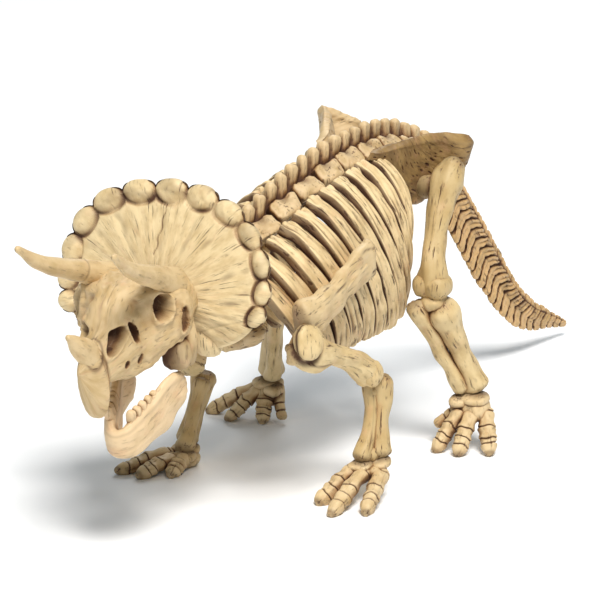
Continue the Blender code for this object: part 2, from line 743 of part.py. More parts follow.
def cheek_stations(side):
    """The plate under the cheek that carries the jaw."""
    return [
        (side * 10.6, -13.8, -4.0, 1.6, 3.0),
        (side * 11.2, -13.6, -9.0, 1.6, 3.4),
        (side * 10.0, -12.4, -14.6, 1.4, 3.6),
    ]


def make_skull():
    pieces = [skull_loft("braincase")]
    cuts = []
    for side in (LEFT, RIGHT):
        pieces.append(bone("cheek", cheek_stations(side), sides=6))
        cuts.append(lump("orbit", (side * 11.6, -19.9, 0.4), (3.4, 2.0, 2.9), segments=8, rings=6))
        cuts.append(lump("temporal", (side * 14.6, -15.6, -3.0), (1.6, 1.0, 3.2), segments=6, rings=4))
        cuts.append(lump("nostril", (side * 5.6, -32.0, -5.0), (3.0, 1.6, 2.4), turns=(30, 0, 0), segments=6, rings=4))
        cuts.append(lump("nostril", (side * 6.8, -27.8, -2.8), (3.0, 1.3, 2.4), turns=(20, 0, 0), segments=6, rings=4))
    head_node("skull", pieces, cuts=cuts)


def make_horns():
    for side in (LEFT, RIGHT):
        cuts = [skull_loft("brow", 1.7 * GAP)]
        head_node(f"horn_brow_{SIDE_NAME[side]}", [bone("horn", brow_horn_stations(side), sides=7)], cuts=cuts)
    head_node("horn_nose", [bone("horn", nose_horn_stations(), sides=6)], cuts=[skull_loft("snout", GAP)])


TEETH = 3  # on each side
JAW_MIDDLE = 1.2  # the jaw is glued on this far to the left
# Lower jaw from its joint to the chin: forward, x from its middle, middle height, half height, half thickness.
JAW = [
    (12.0, 8.2, -20.0, 3.0, 1.3),
    (17.8, 6.8, -22.4, 5.6, 1.5),
    (23.6, 4.6, -26.0, 5.0, 1.6),
    (28.0, 3.0, -27.9, 4.4, 1.6),
    (30.4, 1.5, -28.9, 3.6, 1.5),
    (30.9, 0.0, -29.2, 3.4, 1.5),
]


def make_lower_jaw():
    stations = [(JAW_MIDDLE + x, -forward, z, half, height) for forward, x, z, height, half in JAW]
    stations += [(JAW_MIDDLE - x, -forward, z, half, height) for forward, x, z, height, half in JAW[-2::-1]]
    rings = []
    points = [Vector(s[:3]) for s in stations]
    for i, (point, station) in enumerate(zip(points, stations)):
        before, after = points[max(i - 1, 0)], points[min(i + 1, len(points) - 1)]
        tangent = (after - before).normalized()
        across = tangent.cross(Vector((0, 0, 1))).normalized()
        rings.append(section(point, across, Vector((0, 0, 1)), station[3], station[4], 8, power=2.6))
    pieces = [loft("jaw", rings)]
    for side in (LEFT, RIGHT):
        for i in range(TEETH):
            part = i / (TEETH - 1)
            centre = (JAW_MIDDLE + side * (5.2 - 2.0 * part), -(22.2 + 5.4 * part), -20.8 - 2.4 * part)
            pieces.append(block("tooth", centre, (1.2, 0.95, 1.3), taper=0.7))
    cuts = []
    for side in (LEFT, RIGHT):
        cuts.append(bone("cheek clearance", cheek_stations(side), sides=6, grow=GAP))
    head_node("lower_jaw", pieces, cuts=cuts)


# ---------------------------------------------------------------- the whole


def move_all(shift):
    """Puts the model's bounding box over the origin."""
    for obj in bpy.data.objects:
        obj.location = obj.location + Vector(shift) * MM


make_frill()
make_skull()
make_horns()
make_lower_jaw()
make_neck()
node("spine", spine_pieces())
make_tail()
for body_side in (LEFT, RIGHT):
    node(f"rib_cage_{SIDE_NAME[body_side]}", rib_pieces(body_side))
    make_ilium(body_side)
    make_femur(body_side)
    make_shin(body_side)
    make_hindfoot(body_side)
    make_scapula(body_side)
    make_humerus(body_side)
    make_forearm(body_side)
    make_forefoot(body_side)
move_all((SPINE_X, -MIDDLE_Y, 0))
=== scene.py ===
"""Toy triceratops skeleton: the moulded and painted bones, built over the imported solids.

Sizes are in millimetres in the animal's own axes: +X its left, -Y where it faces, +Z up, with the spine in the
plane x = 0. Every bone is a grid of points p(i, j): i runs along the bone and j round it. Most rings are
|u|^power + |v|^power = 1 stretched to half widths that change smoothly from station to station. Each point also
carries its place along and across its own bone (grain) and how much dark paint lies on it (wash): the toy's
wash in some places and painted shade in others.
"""

import collections
import math

import bpy
import numpy as np
from mathutils import Matrix, Vector


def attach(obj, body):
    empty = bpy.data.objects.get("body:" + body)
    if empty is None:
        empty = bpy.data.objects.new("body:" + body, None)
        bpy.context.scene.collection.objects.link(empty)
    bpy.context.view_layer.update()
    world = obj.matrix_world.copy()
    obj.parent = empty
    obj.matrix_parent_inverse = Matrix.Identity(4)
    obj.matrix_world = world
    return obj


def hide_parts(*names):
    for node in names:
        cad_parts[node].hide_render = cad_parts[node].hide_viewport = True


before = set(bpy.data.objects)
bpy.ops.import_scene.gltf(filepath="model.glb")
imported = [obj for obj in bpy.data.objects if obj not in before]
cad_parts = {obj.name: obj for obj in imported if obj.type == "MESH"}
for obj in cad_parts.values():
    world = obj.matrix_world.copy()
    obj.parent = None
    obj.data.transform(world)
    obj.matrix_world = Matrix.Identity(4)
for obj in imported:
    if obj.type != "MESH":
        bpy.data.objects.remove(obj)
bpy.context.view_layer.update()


# -------- studio
# A white table without an edge, in a faint blue light from all round. A large soft lamp stands in front of
# the toy and above it, a weak one fills from its other side, and a third keeps the table white behind it.

MM = 0.001
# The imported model's box is centred over the origin: the spine's plane and the shoulders are this far from it.
SPINE_X, MIDDLE_Y = 3.3, 15.4
TABLE_REACH = 3.0


def added(name, data):
    """A new object in the scene, made of its mesh, lamp or camera."""
    made = bpy.data.objects.new(name, data)
    bpy.context.scene.collection.objects.link(made)
    return made


table = bpy.data.meshes.new("table")
table_corners = [(-1, -1), (1, -1), (1, 1), (-1, 1)]
table.from_pydata([(x * TABLE_REACH, y * TABLE_REACH, 0) for x, y in table_corners], [], [(0, 1, 2, 3)])
floor = added("studio_floor", table)
white = bpy.data.materials.new("studio_white")
white.use_nodes = True
white_ports = white.node_tree.nodes["Principled BSDF"].inputs
white_ports["Base Color"].default_value = (0.975, 0.985, 1.0, 1)
white_ports["Roughness"].default_value = 0.9
white_ports["Specular IOR Level"].default_value = 0.1
table.materials.append(white)

room = bpy.data.worlds.new("studio_room")
room.use_nodes = True
room_ports = room.node_tree.nodes["Background"].inputs
room_ports["Color"].default_value = (0.66, 0.86, 1.0, 1)
room_ports["Strength"].default_value = 0.16
bpy.context.scene.world = room


def lamp(name, place, aim, size, power, colour):
    """A square soft lamp at a place, turned towards its aim, both in metres."""
    light = bpy.data.lights.new(name, "AREA")
    light.size = size
    light.energy = power
    light.color = colour
    made = added(name, light)
    made.location = place
    made.rotation_mode = "QUATERNION"
    made.rotation_quaternion = (Vector(aim) - Vector(place)).to_track_quat("-Z", "Y")


lamp("key", (0.88, -0.82, 1.92), (0, 0.05, 0), 0.86, 62.0, (1.0, 0.97, 0.93))
lamp("low", (-1.00, -1.50, 0.42), (0, 0, 0.05), 0.80, 3.0, (1.0, 0.96, 0.90))
lamp("back", (-0.80, 1.75, 1.45), (-0.40, 0.95, 0), 0.90, 18.0, (0.95, 0.98, 1.0))
bpy.context.scene.view_settings.view_transform = "Standard"

AZIMUTH, ELEVATION, DISTANCE_MM = 32.2, 15.2, 900.0
AIM_MM = (-6.58, 4.86, 38.9)
FOCAL_PX, PICTURE_PX, SENSOR_MM = 3628.7, 600, 36.0
turn_z, lift = math.radians(AZIMUTH), math.radians(ELEVATION)
away = Vector((math.sin(turn_z) * math.cos(lift), -math.cos(turn_z) * math.cos(lift), math.sin(lift)))
camera = added("camera", bpy.data.cameras.new("camera"))
camera.data.lens = FOCAL_PX / PICTURE_PX * SENSOR_MM
camera.data.sensor_width = SENSOR_MM
camera.location = (Vector(AIM_MM) + Vector((SPINE_X, -MIDDLE_Y, 0)) + away * DISTANCE_MM) * MM
camera.rotation_mode = "QUATERNION"
camera.rotation_quaternion = away.to_track_quat("Z", "Y")
bpy.context.scene.camera = camera


# -------- frill
# One wide dish of cream plastic behind the skull, with thirteen beads round its rim and a lobe low down on
# each side. It is moulded in one piece and rubbed with a thin dark wash, which stays round each bead and in
# the creases of the dish.

# Honey and blush are the toy's own clouds of colour. The umber and the darkest brown colour the wash and also
# the painted shade in recesses.
HONEY = (0.44, 0.285, 0.105)
BLUSH = (0.64, 0.345, 0.20)
UMBER_WASH_AND_SHADE = (0.29, 0.135, 0.042)
WASH_AND_SHADE_BROWN = (0.068, 0.026, 0.014)
DARK_COVER, HOLLOW_REACH, BUMP_DEPTH = 0.94, 3.6, 0.3


class Reading:
    """A number that varies over a surface: an output socket on which + - * add Math nodes."""

    def __init__(self, tree, socket):
        self.tree = tree
        self.socket = socket

    def maths(self, operation, *values):
        """One Math node on these numbers and readings."""
        made = self.tree.nodes.new("ShaderNodeMath")
        made.operation = operation
        for value, port in zip(values, made.inputs):
            if isinstance(value, Reading):
                self.tree.links.new(value.socket, port)
            else:
                port.default_value = value
        return Reading(self.tree, made.outputs[0])

    def __add__(self, other):
        return self.maths("ADD", self, other)

    def __sub__(self, other):
        return self.maths("SUBTRACT", self, other)

    def __rsub__(self, other):
        return self.maths("SUBTRACT", other, self)

    def __mul__(self, other):
        return self.maths("MULTIPLY", self, other)

    __radd__, __rmul__ = __add__, __mul__

    def clamped(self):
        """The number, held between 0 and 1."""
        return self.maths("MINIMUM", self.maths("MAXIMUM", self, 0.0), 1.0)


class Paint:
    """One finish: a material of plastic, and the nodes that colour it."""

    def __init__(self, name):
        self.material = bpy.data.materials.new(name)
        self.material.use_nodes = True
        self.tree = self.material.node_tree
        self.shader = self.tree.nodes["Principled BSDF"]

    def node(self, kind, settings, sockets, output=0):
        """One output of a new node, whose settings are set first and its sockets next."""
        made = self.tree.nodes.new(kind)
        for key, value in settings.items():
            setattr(made, key, value)
        for key, value in sockets.items():
            if isinstance(value, Reading):
                self.tree.links.new(value.socket, made.inputs[key])
            else:
                made.inputs[key].default_value = value
        return Reading(self.tree, made.outputs[output])

    def mix(self, under, over, amount):
        """The colour under, covered by the colour over where the amount is 1."""
        under = under if isinstance(under, Reading) else (*under, 1)
        sockets = {"Factor": amount, 6: under, 7: (*over, 1)}
        return self.node("ShaderNodeMix", {"data_type": "RGBA"}, sockets, 2)

    def step(self, reading, low, high):
        """0 below low, 1 above high, and even between them."""
        sockets = {"Value": reading, "From Min": low, "From Max": high}
        return self.node("ShaderNodeMapRange", {}, sockets)

    def noise(self, place, size_mm, stretch=1.0, detail=3.0, roughness=0.55):
        """Cloudy noise in lumps of about size_mm, drawn out along the bone by stretch."""
        scale = (1 / size_mm / stretch, 1 / size_mm, 1 / size_mm)
        spot = self.node("ShaderNodeMapping", {}, {"Vector": place, "Scale": scale})
        sockets = {"Vector": spot, "Scale": 1.0, "Detail": detail, "Roughness": roughness}
        return self.node("ShaderNodeTexNoise", {}, sockets)

    def into(self, port, reading):
        """The reading, led into a port of the finish."""
        self.tree.links.new(reading.socket, self.shader.inputs[port])


def bone_paint(name, light, dust=0.5, blush=0.3, streaks=0.5, pits=0.3, hollow_shade=1.0, drawn=7.0, rough=0.5):
    """Plastic of one light colour with warm clouds of dust and blush, dark streaks drawn out along the bone,
    small dark pits, and umber and dark brown in the recesses that nearby surfaces shade, which stand both for
    the toy's wash and for painted shade."""
    paint = Paint(name)
    place = paint.node("ShaderNodeAttribute", {"attribute_name": "grain"}, {}, 1)
    # The dark paint laid on each point: the toy's wash, and painted shade where a piece lays shade.
    laid = paint.node("ShaderNodeAttribute", {"attribute_name": "wash"}, {}, 2)
    nearby = {"samples": 8, "only_local": True}
    # Painted shade: ambient occlusion marks the recesses that nearby surfaces shade, and there the colour turns
    # umber, then dark brown.
    shade = 1 - paint.node("ShaderNodeAmbientOcclusion", nearby, {"Distance": HOLLOW_REACH * MM}, 1)
    clouds = paint.step(paint.noise(place, 3.6, 1.3), 0.42, 0.66)
    reds = paint.step(paint.noise(place, 3.1, 1.3, 4.0), 0.55, 0.74)
    fibre = paint.noise(place, 0.55, drawn, 4.0, 0.62)
    patches = paint.step(paint.noise(place, 3.2, 1.6, 2.0), 0.46, 0.58)
    lines = paint.step(fibre, 0.565, 0.635) * patches
    specks = paint.step(paint.noise(place, 0.9, 2.6, 2.0, 0.4), 0.66, 0.72)
    colour = paint.mix(light, HONEY, clouds * dust)
    colour = paint.mix(colour, BLUSH, reds * blush)
    hollow = 0.9 * hollow_shade
    # Umber, then dark brown, where the recesses are shaded: painted shade, together with the streaks, pits and
    # laid-on dark paint.
    colour = paint.mix(colour, UMBER_WASH_AND_SHADE, (paint.step(shade, 0.09, 0.42) * hollow).clamped())
    dark = paint.step(shade, 0.38, 0.70) * hollow + lines * streaks + specks * pits + laid
    dark = dark.clamped()
    paint.into("Base Color", paint.mix(colour, WASH_AND_SHADE_BROWN, dark * DARK_COVER))
    height = fibre * 0.5 + paint.noise(place, 0.35, 1.0, 2.0) * 0.35 - lines * 0.8 - specks * 0.7
    bump = {"Strength": 0.6, "Distance": BUMP_DEPTH * MM, "Height": height}
    paint.into("Normal", paint.node("ShaderNodeBump", {}, bump))
    paint.into("Roughness", rough + dark * 0.2)
    paint.shader.inputs["Specular IOR Level"].default_value = 0.35
    return paint.material


# A closed skin: a grid of points that closes round its second axis, and the grain of each point and its dark
# paint (wash), which in places is painted shade.
Shell = collections.namedtuple("Shell", "points grain wash")


def share(value):
    """The value, held between 0 and 1."""
    return np.clip(value, 0, 1)


def bump_at(value, centre, half):
    """A smooth bell, 1 at the centre and nearly 0 two half widths away."""
    return np.exp(-(((value - centre) / half) ** 2))


def stacked(*fields):
    """The fields, spread over one grid, side by side as the numbers of each of its points."""
    return np.stack(np.broadcast_arrays(*fields), axis=-1)


def unit(vectors):
    """The vectors, each divided by its length."""
    return vectors / np.maximum(np.linalg.norm(vectors, axis=-1, keepdims=True), 1e-12)


def ring(around, power):
    """Points of |u|^power + |v|^power = 1 at even turns: cosine and sine, each to the power of 2 / power."""
    turn = np.linspace(0, 2 * np.pi, around, endpoint=False)
    return [np.sign(side) * np.abs(side) ** (2 / power) for side in (np.cos(turn), np.sin(turn))]


def turned(degrees):
    """The matrix that turns about X, then Y, then Z."""
    x, y, z = np.radians(degrees)
    return np.array(Matrix.Rotation(z, 3, "Z") @ Matrix.Rotation(y, 3, "Y") @ Matrix.Rotation(x, 3, "X"))


def knob(centre, halves, turns=(0, 0, 0), power=2.0, along=20, around=28):
    """A lump: the ring's rule used round the lump and again from pole to pole."""
    rise = np.radians(np.linspace(-88, 88, along))[:, None]
    c, s = np.cos(rise) ** (2 / power), np.sign(rise) * np.abs(np.sin(rise)) ** (2 / power)
    u, v = ring(around, power)
    points = stacked(c * u, c * v, s) * halves @ turned(turns).T + centre
    return Shell(points, points[..., [2, 0, 1]], np.zeros(points.shape[:2]))


def facing(points):
    """Unit normals of a grid that closes round its second axis, away from the middle of its rings."""
    across = np.roll(points, -1, axis=1) - np.roll(points, 1, axis=1)
    normal = unit(np.cross(np.gradient(points, axis=0), across))
    outward = (normal * (points - points.mean(axis=1, keepdims=True))).sum(axis=2).mean()
    return normal if outward > 0 else -normal


def pushed(shell, amount, wash=0.0):
    """The shell moved outwards by an amount in mm at each point, with more dark paint laid on it, which is wash
    in some places and painted shade in others.
    """
    moved = shell.points + facing(shell.points) * np.asarray(amount)[..., None]
    return Shell(moved, shell.grain, share(shell.wash + wash))


def waves(place, pitch, seed, count=9):
    """Smooth noise, about -1 to 1: a sum of sines along random directions, pitch mm from crest to crest."""
    chance = np.random.default_rng(seed)
    way = 2 * np.pi * unit(chance.normal(size=(count, 3))) / pitch
    return np.sin(place @ way.T + chance.uniform(0, 2 * np.pi, count)).sum(axis=-1) / 3


def weathered(shell, seed, knobbly=0.10, fibres=0.05):
    """The shell with broad unevenness, and with fine ridges along the bone."""
    broad, fine = waves(shell.grain, (7, 4, 4), seed), waves(shell.grain, (14, 1.2, 1.2), seed + 1)
    return pushed(shell, knobbly * broad + fibres * fine)


# The head's own axes (left, backward, up) start at the middle of the frill, turned a little on the neck.
HEAD_AT = (-4.0, -57.0, 58.0)
HEAD_TURNS = ((5.3, "Z"), (4.0, "X"), (-2.6, "Y"))
yaw, pitch, roll = (Matrix.Rotation(math.radians(angle), 3, axis) for angle, axis in HEAD_TURNS)
HEAD_TURN = np.array(yaw @ pitch @ roll)


def capped(field):
    """The grid's values in one list, and after them the mean of its first ring and that of its last."""
    flat = field.reshape(-1, *field.shape[2:])
    return np.concatenate([flat, [field[0].mean(axis=0), field[-1].mean(axis=0)]])


def mould(name, shells, paint, of_head=False):
    """One piece from closed shells: quads between rings and a fan over each end, all facing out."""
    places, grains, washes, loops, sizes = [], [], [], [], []
    used = 0
    for shell in shells:
        points = shell.points @ HEAD_TURN.T + np.array(HEAD_AT) if of_head else shell.points
        rows, around = points.shape[:2]
        i = np.arange((rows - 1) * around).reshape(rows - 1, around)
        j = np.roll(i, -1, axis=1)
        quads = stacked(i, j, j + around, i + around).reshape(-1, 4)
        low = np.arange(around)
        high = low + (rows - 1) * around
        first = stacked(np.roll(low, -1), low, rows * around)
        last = stacked(high, np.roll(high, -1), rows * around + 1)
        fans = np.vstack([first, last])
        flat = capped(points)
        a, b, c = (flat[quads[:, k]] - flat.mean(axis=0) for k in (0, 1, 2))
        if (a * np.cross(b, c)).sum() < 0:
            quads, fans = quads[:, ::-1], fans[:, ::-1]
        places.append(flat)
        grains.append(capped(shell.grain))
        washes.append(capped(shell.wash))
        loops += [quads.ravel() + used, fans.ravel() + used]
        sizes += [np.full(len(quads), 4), np.full(len(fans), 3)]
        used += len(flat)
    loops, sizes = np.concatenate(loops), np.concatenate(sizes)
    mesh = bpy.data.meshes.new(name)
    mesh.vertices.add(used)
    mesh.loops.add(len(loops))
    mesh.polygons.add(len(sizes))
    mesh.vertices.foreach_set("co", ((np.vstack(places) + (SPINE_X, -MIDDLE_Y, 0)) * MM).ravel())
    mesh.loops.foreach_set("vertex_index", loops.astype(np.int32))
    mesh.polygons.foreach_set("loop_start", (np.cumsum(sizes) - sizes).astype(np.int32))
    mesh.polygons.foreach_set("use_smooth", np.ones(len(sizes), bool))
    mesh.update(calc_edges=True)
    grain = mesh.attributes.new("grain", "FLOAT_VECTOR", "POINT")
    grain.data.foreach_set("vector", np.vstack(grains).ravel())
    wash = mesh.attributes.new("wash", "FLOAT", "POINT")
    wash.data.foreach_set("value", np.concatenate(washes))
    mesh.materials.append(paint)
    made = added(name + "_bone", mesh)
    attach(made, "root")
    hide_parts(name)


def two_faced(front, back, grain, ink, ink_behind):
    """A closed shell whose every ring runs along the front grid and comes home along the back one."""
    faces = (front, back), (grain, grain), (ink, ink_behind)
    points, grain, ink = (np.concatenate([before, behind[:, ::-1]], axis=1) for before, behind in faces)
    return Shell(points, grain, share(ink))


# The rim reaches this many degrees from its top to each side, with a bead at the top and six to each side.
FRILL_REACH, BEAD_TURN, BEADS = 160.0, 18.5, 6
FRILL_AROUND, FRILL_OUTWARDS = 500, 88
FRILL_WIDE, FRILL_HIGH, FRILL_DROP = 25.8, 20.4, 16.0
DISH_HALF, BEAD_HALF_DEEP, BEAD_HALF_WIDE, RIM_LENGTH, DISH_LENGTH = 1.1, 2.0, 2.9, 0.42, 25.0
# On the front of the dish: the crack down from its top and the fold at its lower left, from here to there.
CRACK_Z, FOLD_X = (6.5, 17.2), (8.0, 21.5)


def frill_rim(turn):
    """The rim at turns in degrees from the top: half an ellipse, and below it a squarer curve set forward."""
    a = np.radians(turn)
    swell = 1 + np.where(turn < 0, 0.07, 0.0) * np.sin(2 * a) ** 2
    z_low = FRILL_DROP * np.cos(a)
    x_low = FRILL_WIDE * np.sign(turn) * np.sqrt(np.maximum(1 - np.abs(z_low / FRILL_DROP) ** 2.6, 0))
    high = np.abs(turn) <= 90
    x = np.where(high, FRILL_WIDE * np.sin(a) * swell, x_low)
    z = np.where(high, FRILL_HIGH * np.cos(a) * swell, z_low)
    low_forward = 1.2 + 3.0 * np.sin(np.radians((np.abs(turn) - 90) * 2.4))
    return x, np.where(high, -5.8 * np.cos(a) + 1.2 * np.sin(a) ** 8, low_forward), z


def frill_shell():
    """The dish from its middle to its rim at every turn. A bead ends where its centre is 1 away."""
    turn = np.linspace(-FRILL_REACH, FRILL_REACH, FRILL_AROUND)[:, None]
    rim_x, rim_forward, rim_z = frill_rim(turn)
    radius = np.hypot(rim_x, rim_z + 2.0)
    count = np.round(turn / BEAD_TURN)
    along_bead = 2 * (turn / BEAD_TURN - count)
    half_wide = BEAD_HALF_WIDE - 0.8 * share((turn - 20) / 50)
    beaded = np.abs(count) <= BEADS
    swell = np.where(beaded, np.sqrt(np.maximum(0, 1 - along_bead**2)), 0.0)
    edge = 1.015 + (0.8 * half_wide) / radius * swell**0.8
    reach = 0.06 + (edge - 0.06) * np.sin(np.linspace(0, np.pi / 2, FRILL_OUTWARDS))
    across_bead = (reach - 1.0) * radius / half_wide
    from_bead = np.where(beaded, np.hypot(along_bead * 1.02, across_bead), 3.0)
    border = np.sqrt(share((edge - reach) / 0.05))
    half = np.maximum(DISH_HALF * border, BEAD_HALF_DEEP * np.sqrt(np.maximum(0, 1 - from_bead**2)))
    groove = np.where(reach < 1, bump_at(from_bead, 1.08, 0.15), 0.7 * bump_at(from_bead, 1.02, 0.07))
    place = stacked(turn * RIM_LENGTH, reach * DISH_LENGTH, 0)
    uneven = waves(place, (5, 5, 5), 9)
    lumps = 0.14 * uneven + 0.07 * waves(place, (1.8, 1.8, 1.8), 10)
    bent = np.radians(turn + 1.2 * np.sin(reach * 9 + turn / 17))
    crease = 0.5 * np.sin(bent * 13) + 0.35 * np.sin(bent * 23 + 0.7) + 0.3 * np.sin(bent * 41 + 0.2)
    on_dish = share(-across_bead - 1.1) * share(reach * 1.6 - 0.4)
    height = 0.32 * crease * on_dish - (0.75 + 0.2 * uneven) * groove + lumps * share(1.3 - from_bead)
    deep = 6.0 * np.maximum(1 - reach, 0) ** 1.3 + rim_forward * reach
    dish = stacked(rim_x * reach, -deep, -2.0 * (1 - reach) + rim_z * reach)
    normal = unit(np.cross(np.gradient(dish, axis=0), np.gradient(dish, axis=1)))
    normal *= -np.sign(normal[..., 1].mean())
    x, z = dish[..., 0], dish[..., 2]
    crack = bump_at(x, -0.3 + 0.12 * (z - 19) + 0.25 * np.sin(z * 1.7), 0.16)
    crack *= (z > CRACK_Z[0]) & (z < CRACK_Z[1])
    past = np.clip(x - 9, 0, 20)
    fold = bump_at(z, -10.2 + 0.42 * past - 0.013 * past**2, 0.22) * (x > FOLD_X[0]) * (x < FOLD_X[1])
    front = dish + normal * (half + height - 0.25 * crack - 0.1 * fold)[..., None]
    back = dish - normal * (half - 0.5 * groove)[..., None]
    ink = (0.62 + 0.5 * uneven) * groove + 0.55 * crack + 0.15 * fold
    ink = ink + 0.8 * share(-0.45 - crease - 0.4 * uneven) * on_dish + 0.3 * share(uneven) * (from_bead < 1)
    return two_faced(front, back, place[..., [1, 0, 2]], ink, 0.6 * groove)


frill_shells = [frill_shell()]
SIDES = ((1, "left"), (-1, "right"))
LOBE = {"halves": (4.3, 2.7, 3.6), "power": 2.2, "along": 44, "around": 56}
for side, _ in SIDES:
    lobe = knob((side * 10.4, -2.4, -12.8), turns=(0, side * 30, 0), **LOBE)
    frill_shells.append(weathered(lobe, 11 + side))
frill_paint = bone_paint("frill_plastic", (0.77, 0.61, 0.35), 0.42, 0.22, streaks=0.70, pits=0.12, drawn=16.0)
mould("frill", frill_shells, frill_paint, of_head=True)


# -------- skull
# Braincase, cheeks and hooked beak in one moulding, solid but for blind eye sockets, nostrils and side pits.
# It is glued to the front of the frill, and more wash than on the frill was left all over its brow and snout.


def course(stations, count):
    """Even samples of cubics through stations, whose slope at each is the mean of its chords' slopes."""
    stations = np.asarray(stations, float)
    steps = np.linalg.norm(np.diff(stations[:, :3], axis=0), axis=1)
    chord = np.concatenate([[0.0], np.cumsum(steps)])
    slope = np.gradient(stations, chord, axis=0)
    at = np.linspace(0, chord[-1], count)
    i = np.clip(np.searchsorted(chord, at, side="right") - 1, 0, len(chord) - 2)
    span = (chord[i + 1] - chord[i])[:, None]
    t = (at - chord[i])[:, None] / span
    low = stations[i] * (1 + 2 * t) * (1 - t) ** 2 + slope[i] * span * t * (1 - t) ** 2
    return low + stations[i + 1] * t**2 * (3 - 2 * t) + slope[i + 1] * span * t**2 * (t - 1)


# Sections from the tip of the beak back: forward, top, bottom, half width, middle.
SKULL = [
    (42.6, -7.8, -10.2, 0.5, 0.0),
    (41.6, -6.4, -13.2, 1.1, 0.0),
    (40.0, -5.2, -17.0, 1.8, 0.0),
    (38.2, -4.4, -20.0, 2.5, 0.0),
    (36.9, -4.0, -21.0, 3.1, 0.0),
    (35.4, -3.4, -13.6, 4.2, 0.0),
    (32.0, -1.2, -13.6, 5.6, 0.0),
    (28.4, 3.6, -14.6, 6.8, -0.2),
    (25.0, 6.0, -15.4, 8.0, -0.4),
    (21.4, 6.8, -15.0, 10.2, -0.8),
    (17.6, 7.0, -13.2, 12.9, -1.1),
    (14.6, 6.8, -11.8, 15.0, -1.3),
    (10.0, 6.2, -9.4, 13.4, -1.2),
    (6.0, 5.6, -8.0, 11.8, -1.0),
]
SKULL_POWER, SKULL_ALONG, SKULL_AROUND = 2.6, 230, 300
# The seam round the root of the nose horn.
NOSE_AT, NOSE_HALVES = (0, -37.4, -5.8), (3.0, 3.4, 4.8)
# Sunken places on each side: forward, height, half along, half up, tilt in degrees, depth, raised lip, and the
# darkness of the painted shade inside.
SOCKETS = {
    "orbit": (19.8, 0.7, 1.9, 3.0, 18, 4.4, 0.9, 1.0),
    "slit": (15.7, -3.0, 0.75, 2.9, 8, 1.3, 0.6, 0.2),
    "nostril": (32.3, -3.8, 1.3, 3.8, 47, 3.4, 0.3, 0.95),
    "rear_nostril": (27.9, -3.0, 0.95, 2.5, -14, 2.4, 0.35, 0.9),
    "front_pit": (31.1, -9.6, 0.7, 0.9, 30, 0.8, 0.15, 0.7),
    "rear_pit": (26.7, -9.5, 0.7, 1.1, 30, 0.8, 0.15, 0.6),
    "cheek": (17.2, -11.6, 2.2, 2.8, 30, 3.2, 0.2, 0.95),
}
# Low swellings on each side: forward, height, half along, half up, rise.
SWELLINGS = {
    "brow": (19.4, 4.4, 3.4, 1.2, 0.5),
    "cheek_bone": (21.6, -8.0, 2.2, 2.2, 0.6),
    "tooth_row": (25.0, -12.6, 5.4, 1.1, 1.0),
    "snout_side": (29.6, -7.2, 2.0, 1.4, 0.4),
    "upper_valley": (25.4, 2.4, 1.5, 2.2, -1.6),
    "lower_valley": (24.2, -1.6, 1.4, 2.4, -1.3),
}


def skull_shell():
    """Rings |x/half|^2.6 + |z/height|^2.6 = 1, with sockets sunk in and back, and a lip raised round each."""
    forward, top, bottom, half, mid_x = course(SKULL, SKULL_ALONG).T[..., None]
    u, v = ring(SKULL_AROUND, SKULL_POWER)
    snout = share((forward - 22) / 14)
    x = half * u * (1 - 0.16 * snout * v)
    z = (top + bottom + (top - bottom) * v) / 2 + 0.5 * bump_at(u, 0, 0.12) * (v > 0) * (forward > 24)
    sink = lip = ink = 0 * x
    ragged = 0.035 * waves(stacked(-forward, z, 0), (3, 3, 3), 20)
    flank = np.abs(u) > 0.35
    for at, up, half_along, half_up, tilt, depth, raised, dark in SOCKETS.values():
        c, s = math.cos(math.radians(tilt)), math.sin(math.radians(tilt))
        along = ((forward - at) * c + (z - up) * s) / half_along
        rise = ((z - up) * c - (forward - at) * s) / half_up
        out = np.hypot(along, rise) + ragged
        bowl = share((1.12 - out) / 0.34)
        sink = np.maximum(sink, depth * bowl * bowl * (3 - 2 * bowl) * flank)
        lip = lip + raised * bump_at(out, 1.26, 0.18) * flank
        # Painted shade inside each socket: darkest in its middle and towards its front end.
        shadow = share((1.08 - out) / 0.25) * np.clip(0.85 + 0.4 * along, 0.45, 1)
        ink = np.maximum(ink, dark * shadow * flank)
    for at, up, half_along, half_up, rise in SWELLINGS.values():
        lip = lip + rise * bump_at(forward, at, half_along) * bump_at(z, up, half_up)
    x = x - np.sign(u) * (0.9 * sink - 0.8 * lip) + mid_x
    points = stacked(x, 0.35 * sink - 0.6 * lip - forward, z)
    seam = bump_at(forward, 36.0 + 0.10 * (z + 10), 0.22) * (z > -17) * (z < -6)
    from_nose = np.linalg.norm((points - NOSE_AT) / NOSE_HALVES, axis=2)
    ink = np.maximum(ink, 0.3 * seam + 0.6 * bump_at(from_nose, 1.0, 0.09) * (z < -1.5))
    bumpy = 0.16 * waves(points, (6, 5, 5), 21) + 0.10 * waves(points, (2.4, 2.0, 2.0), 22)
    shell = Shell(points, stacked(forward, 12 * np.arctan2(v, u), 0), ink)
    return pushed(shell, bumpy * (1 - 0.7 * snout) - 0.2 * seam)


def length_to(points, axis=0):
    """The length of the way to each point: the running sum of the steps along one axis of the grid."""
    return np.cumsum(np.linalg.norm(np.gradient(points, axis=axis), axis=-1), axis=axis)


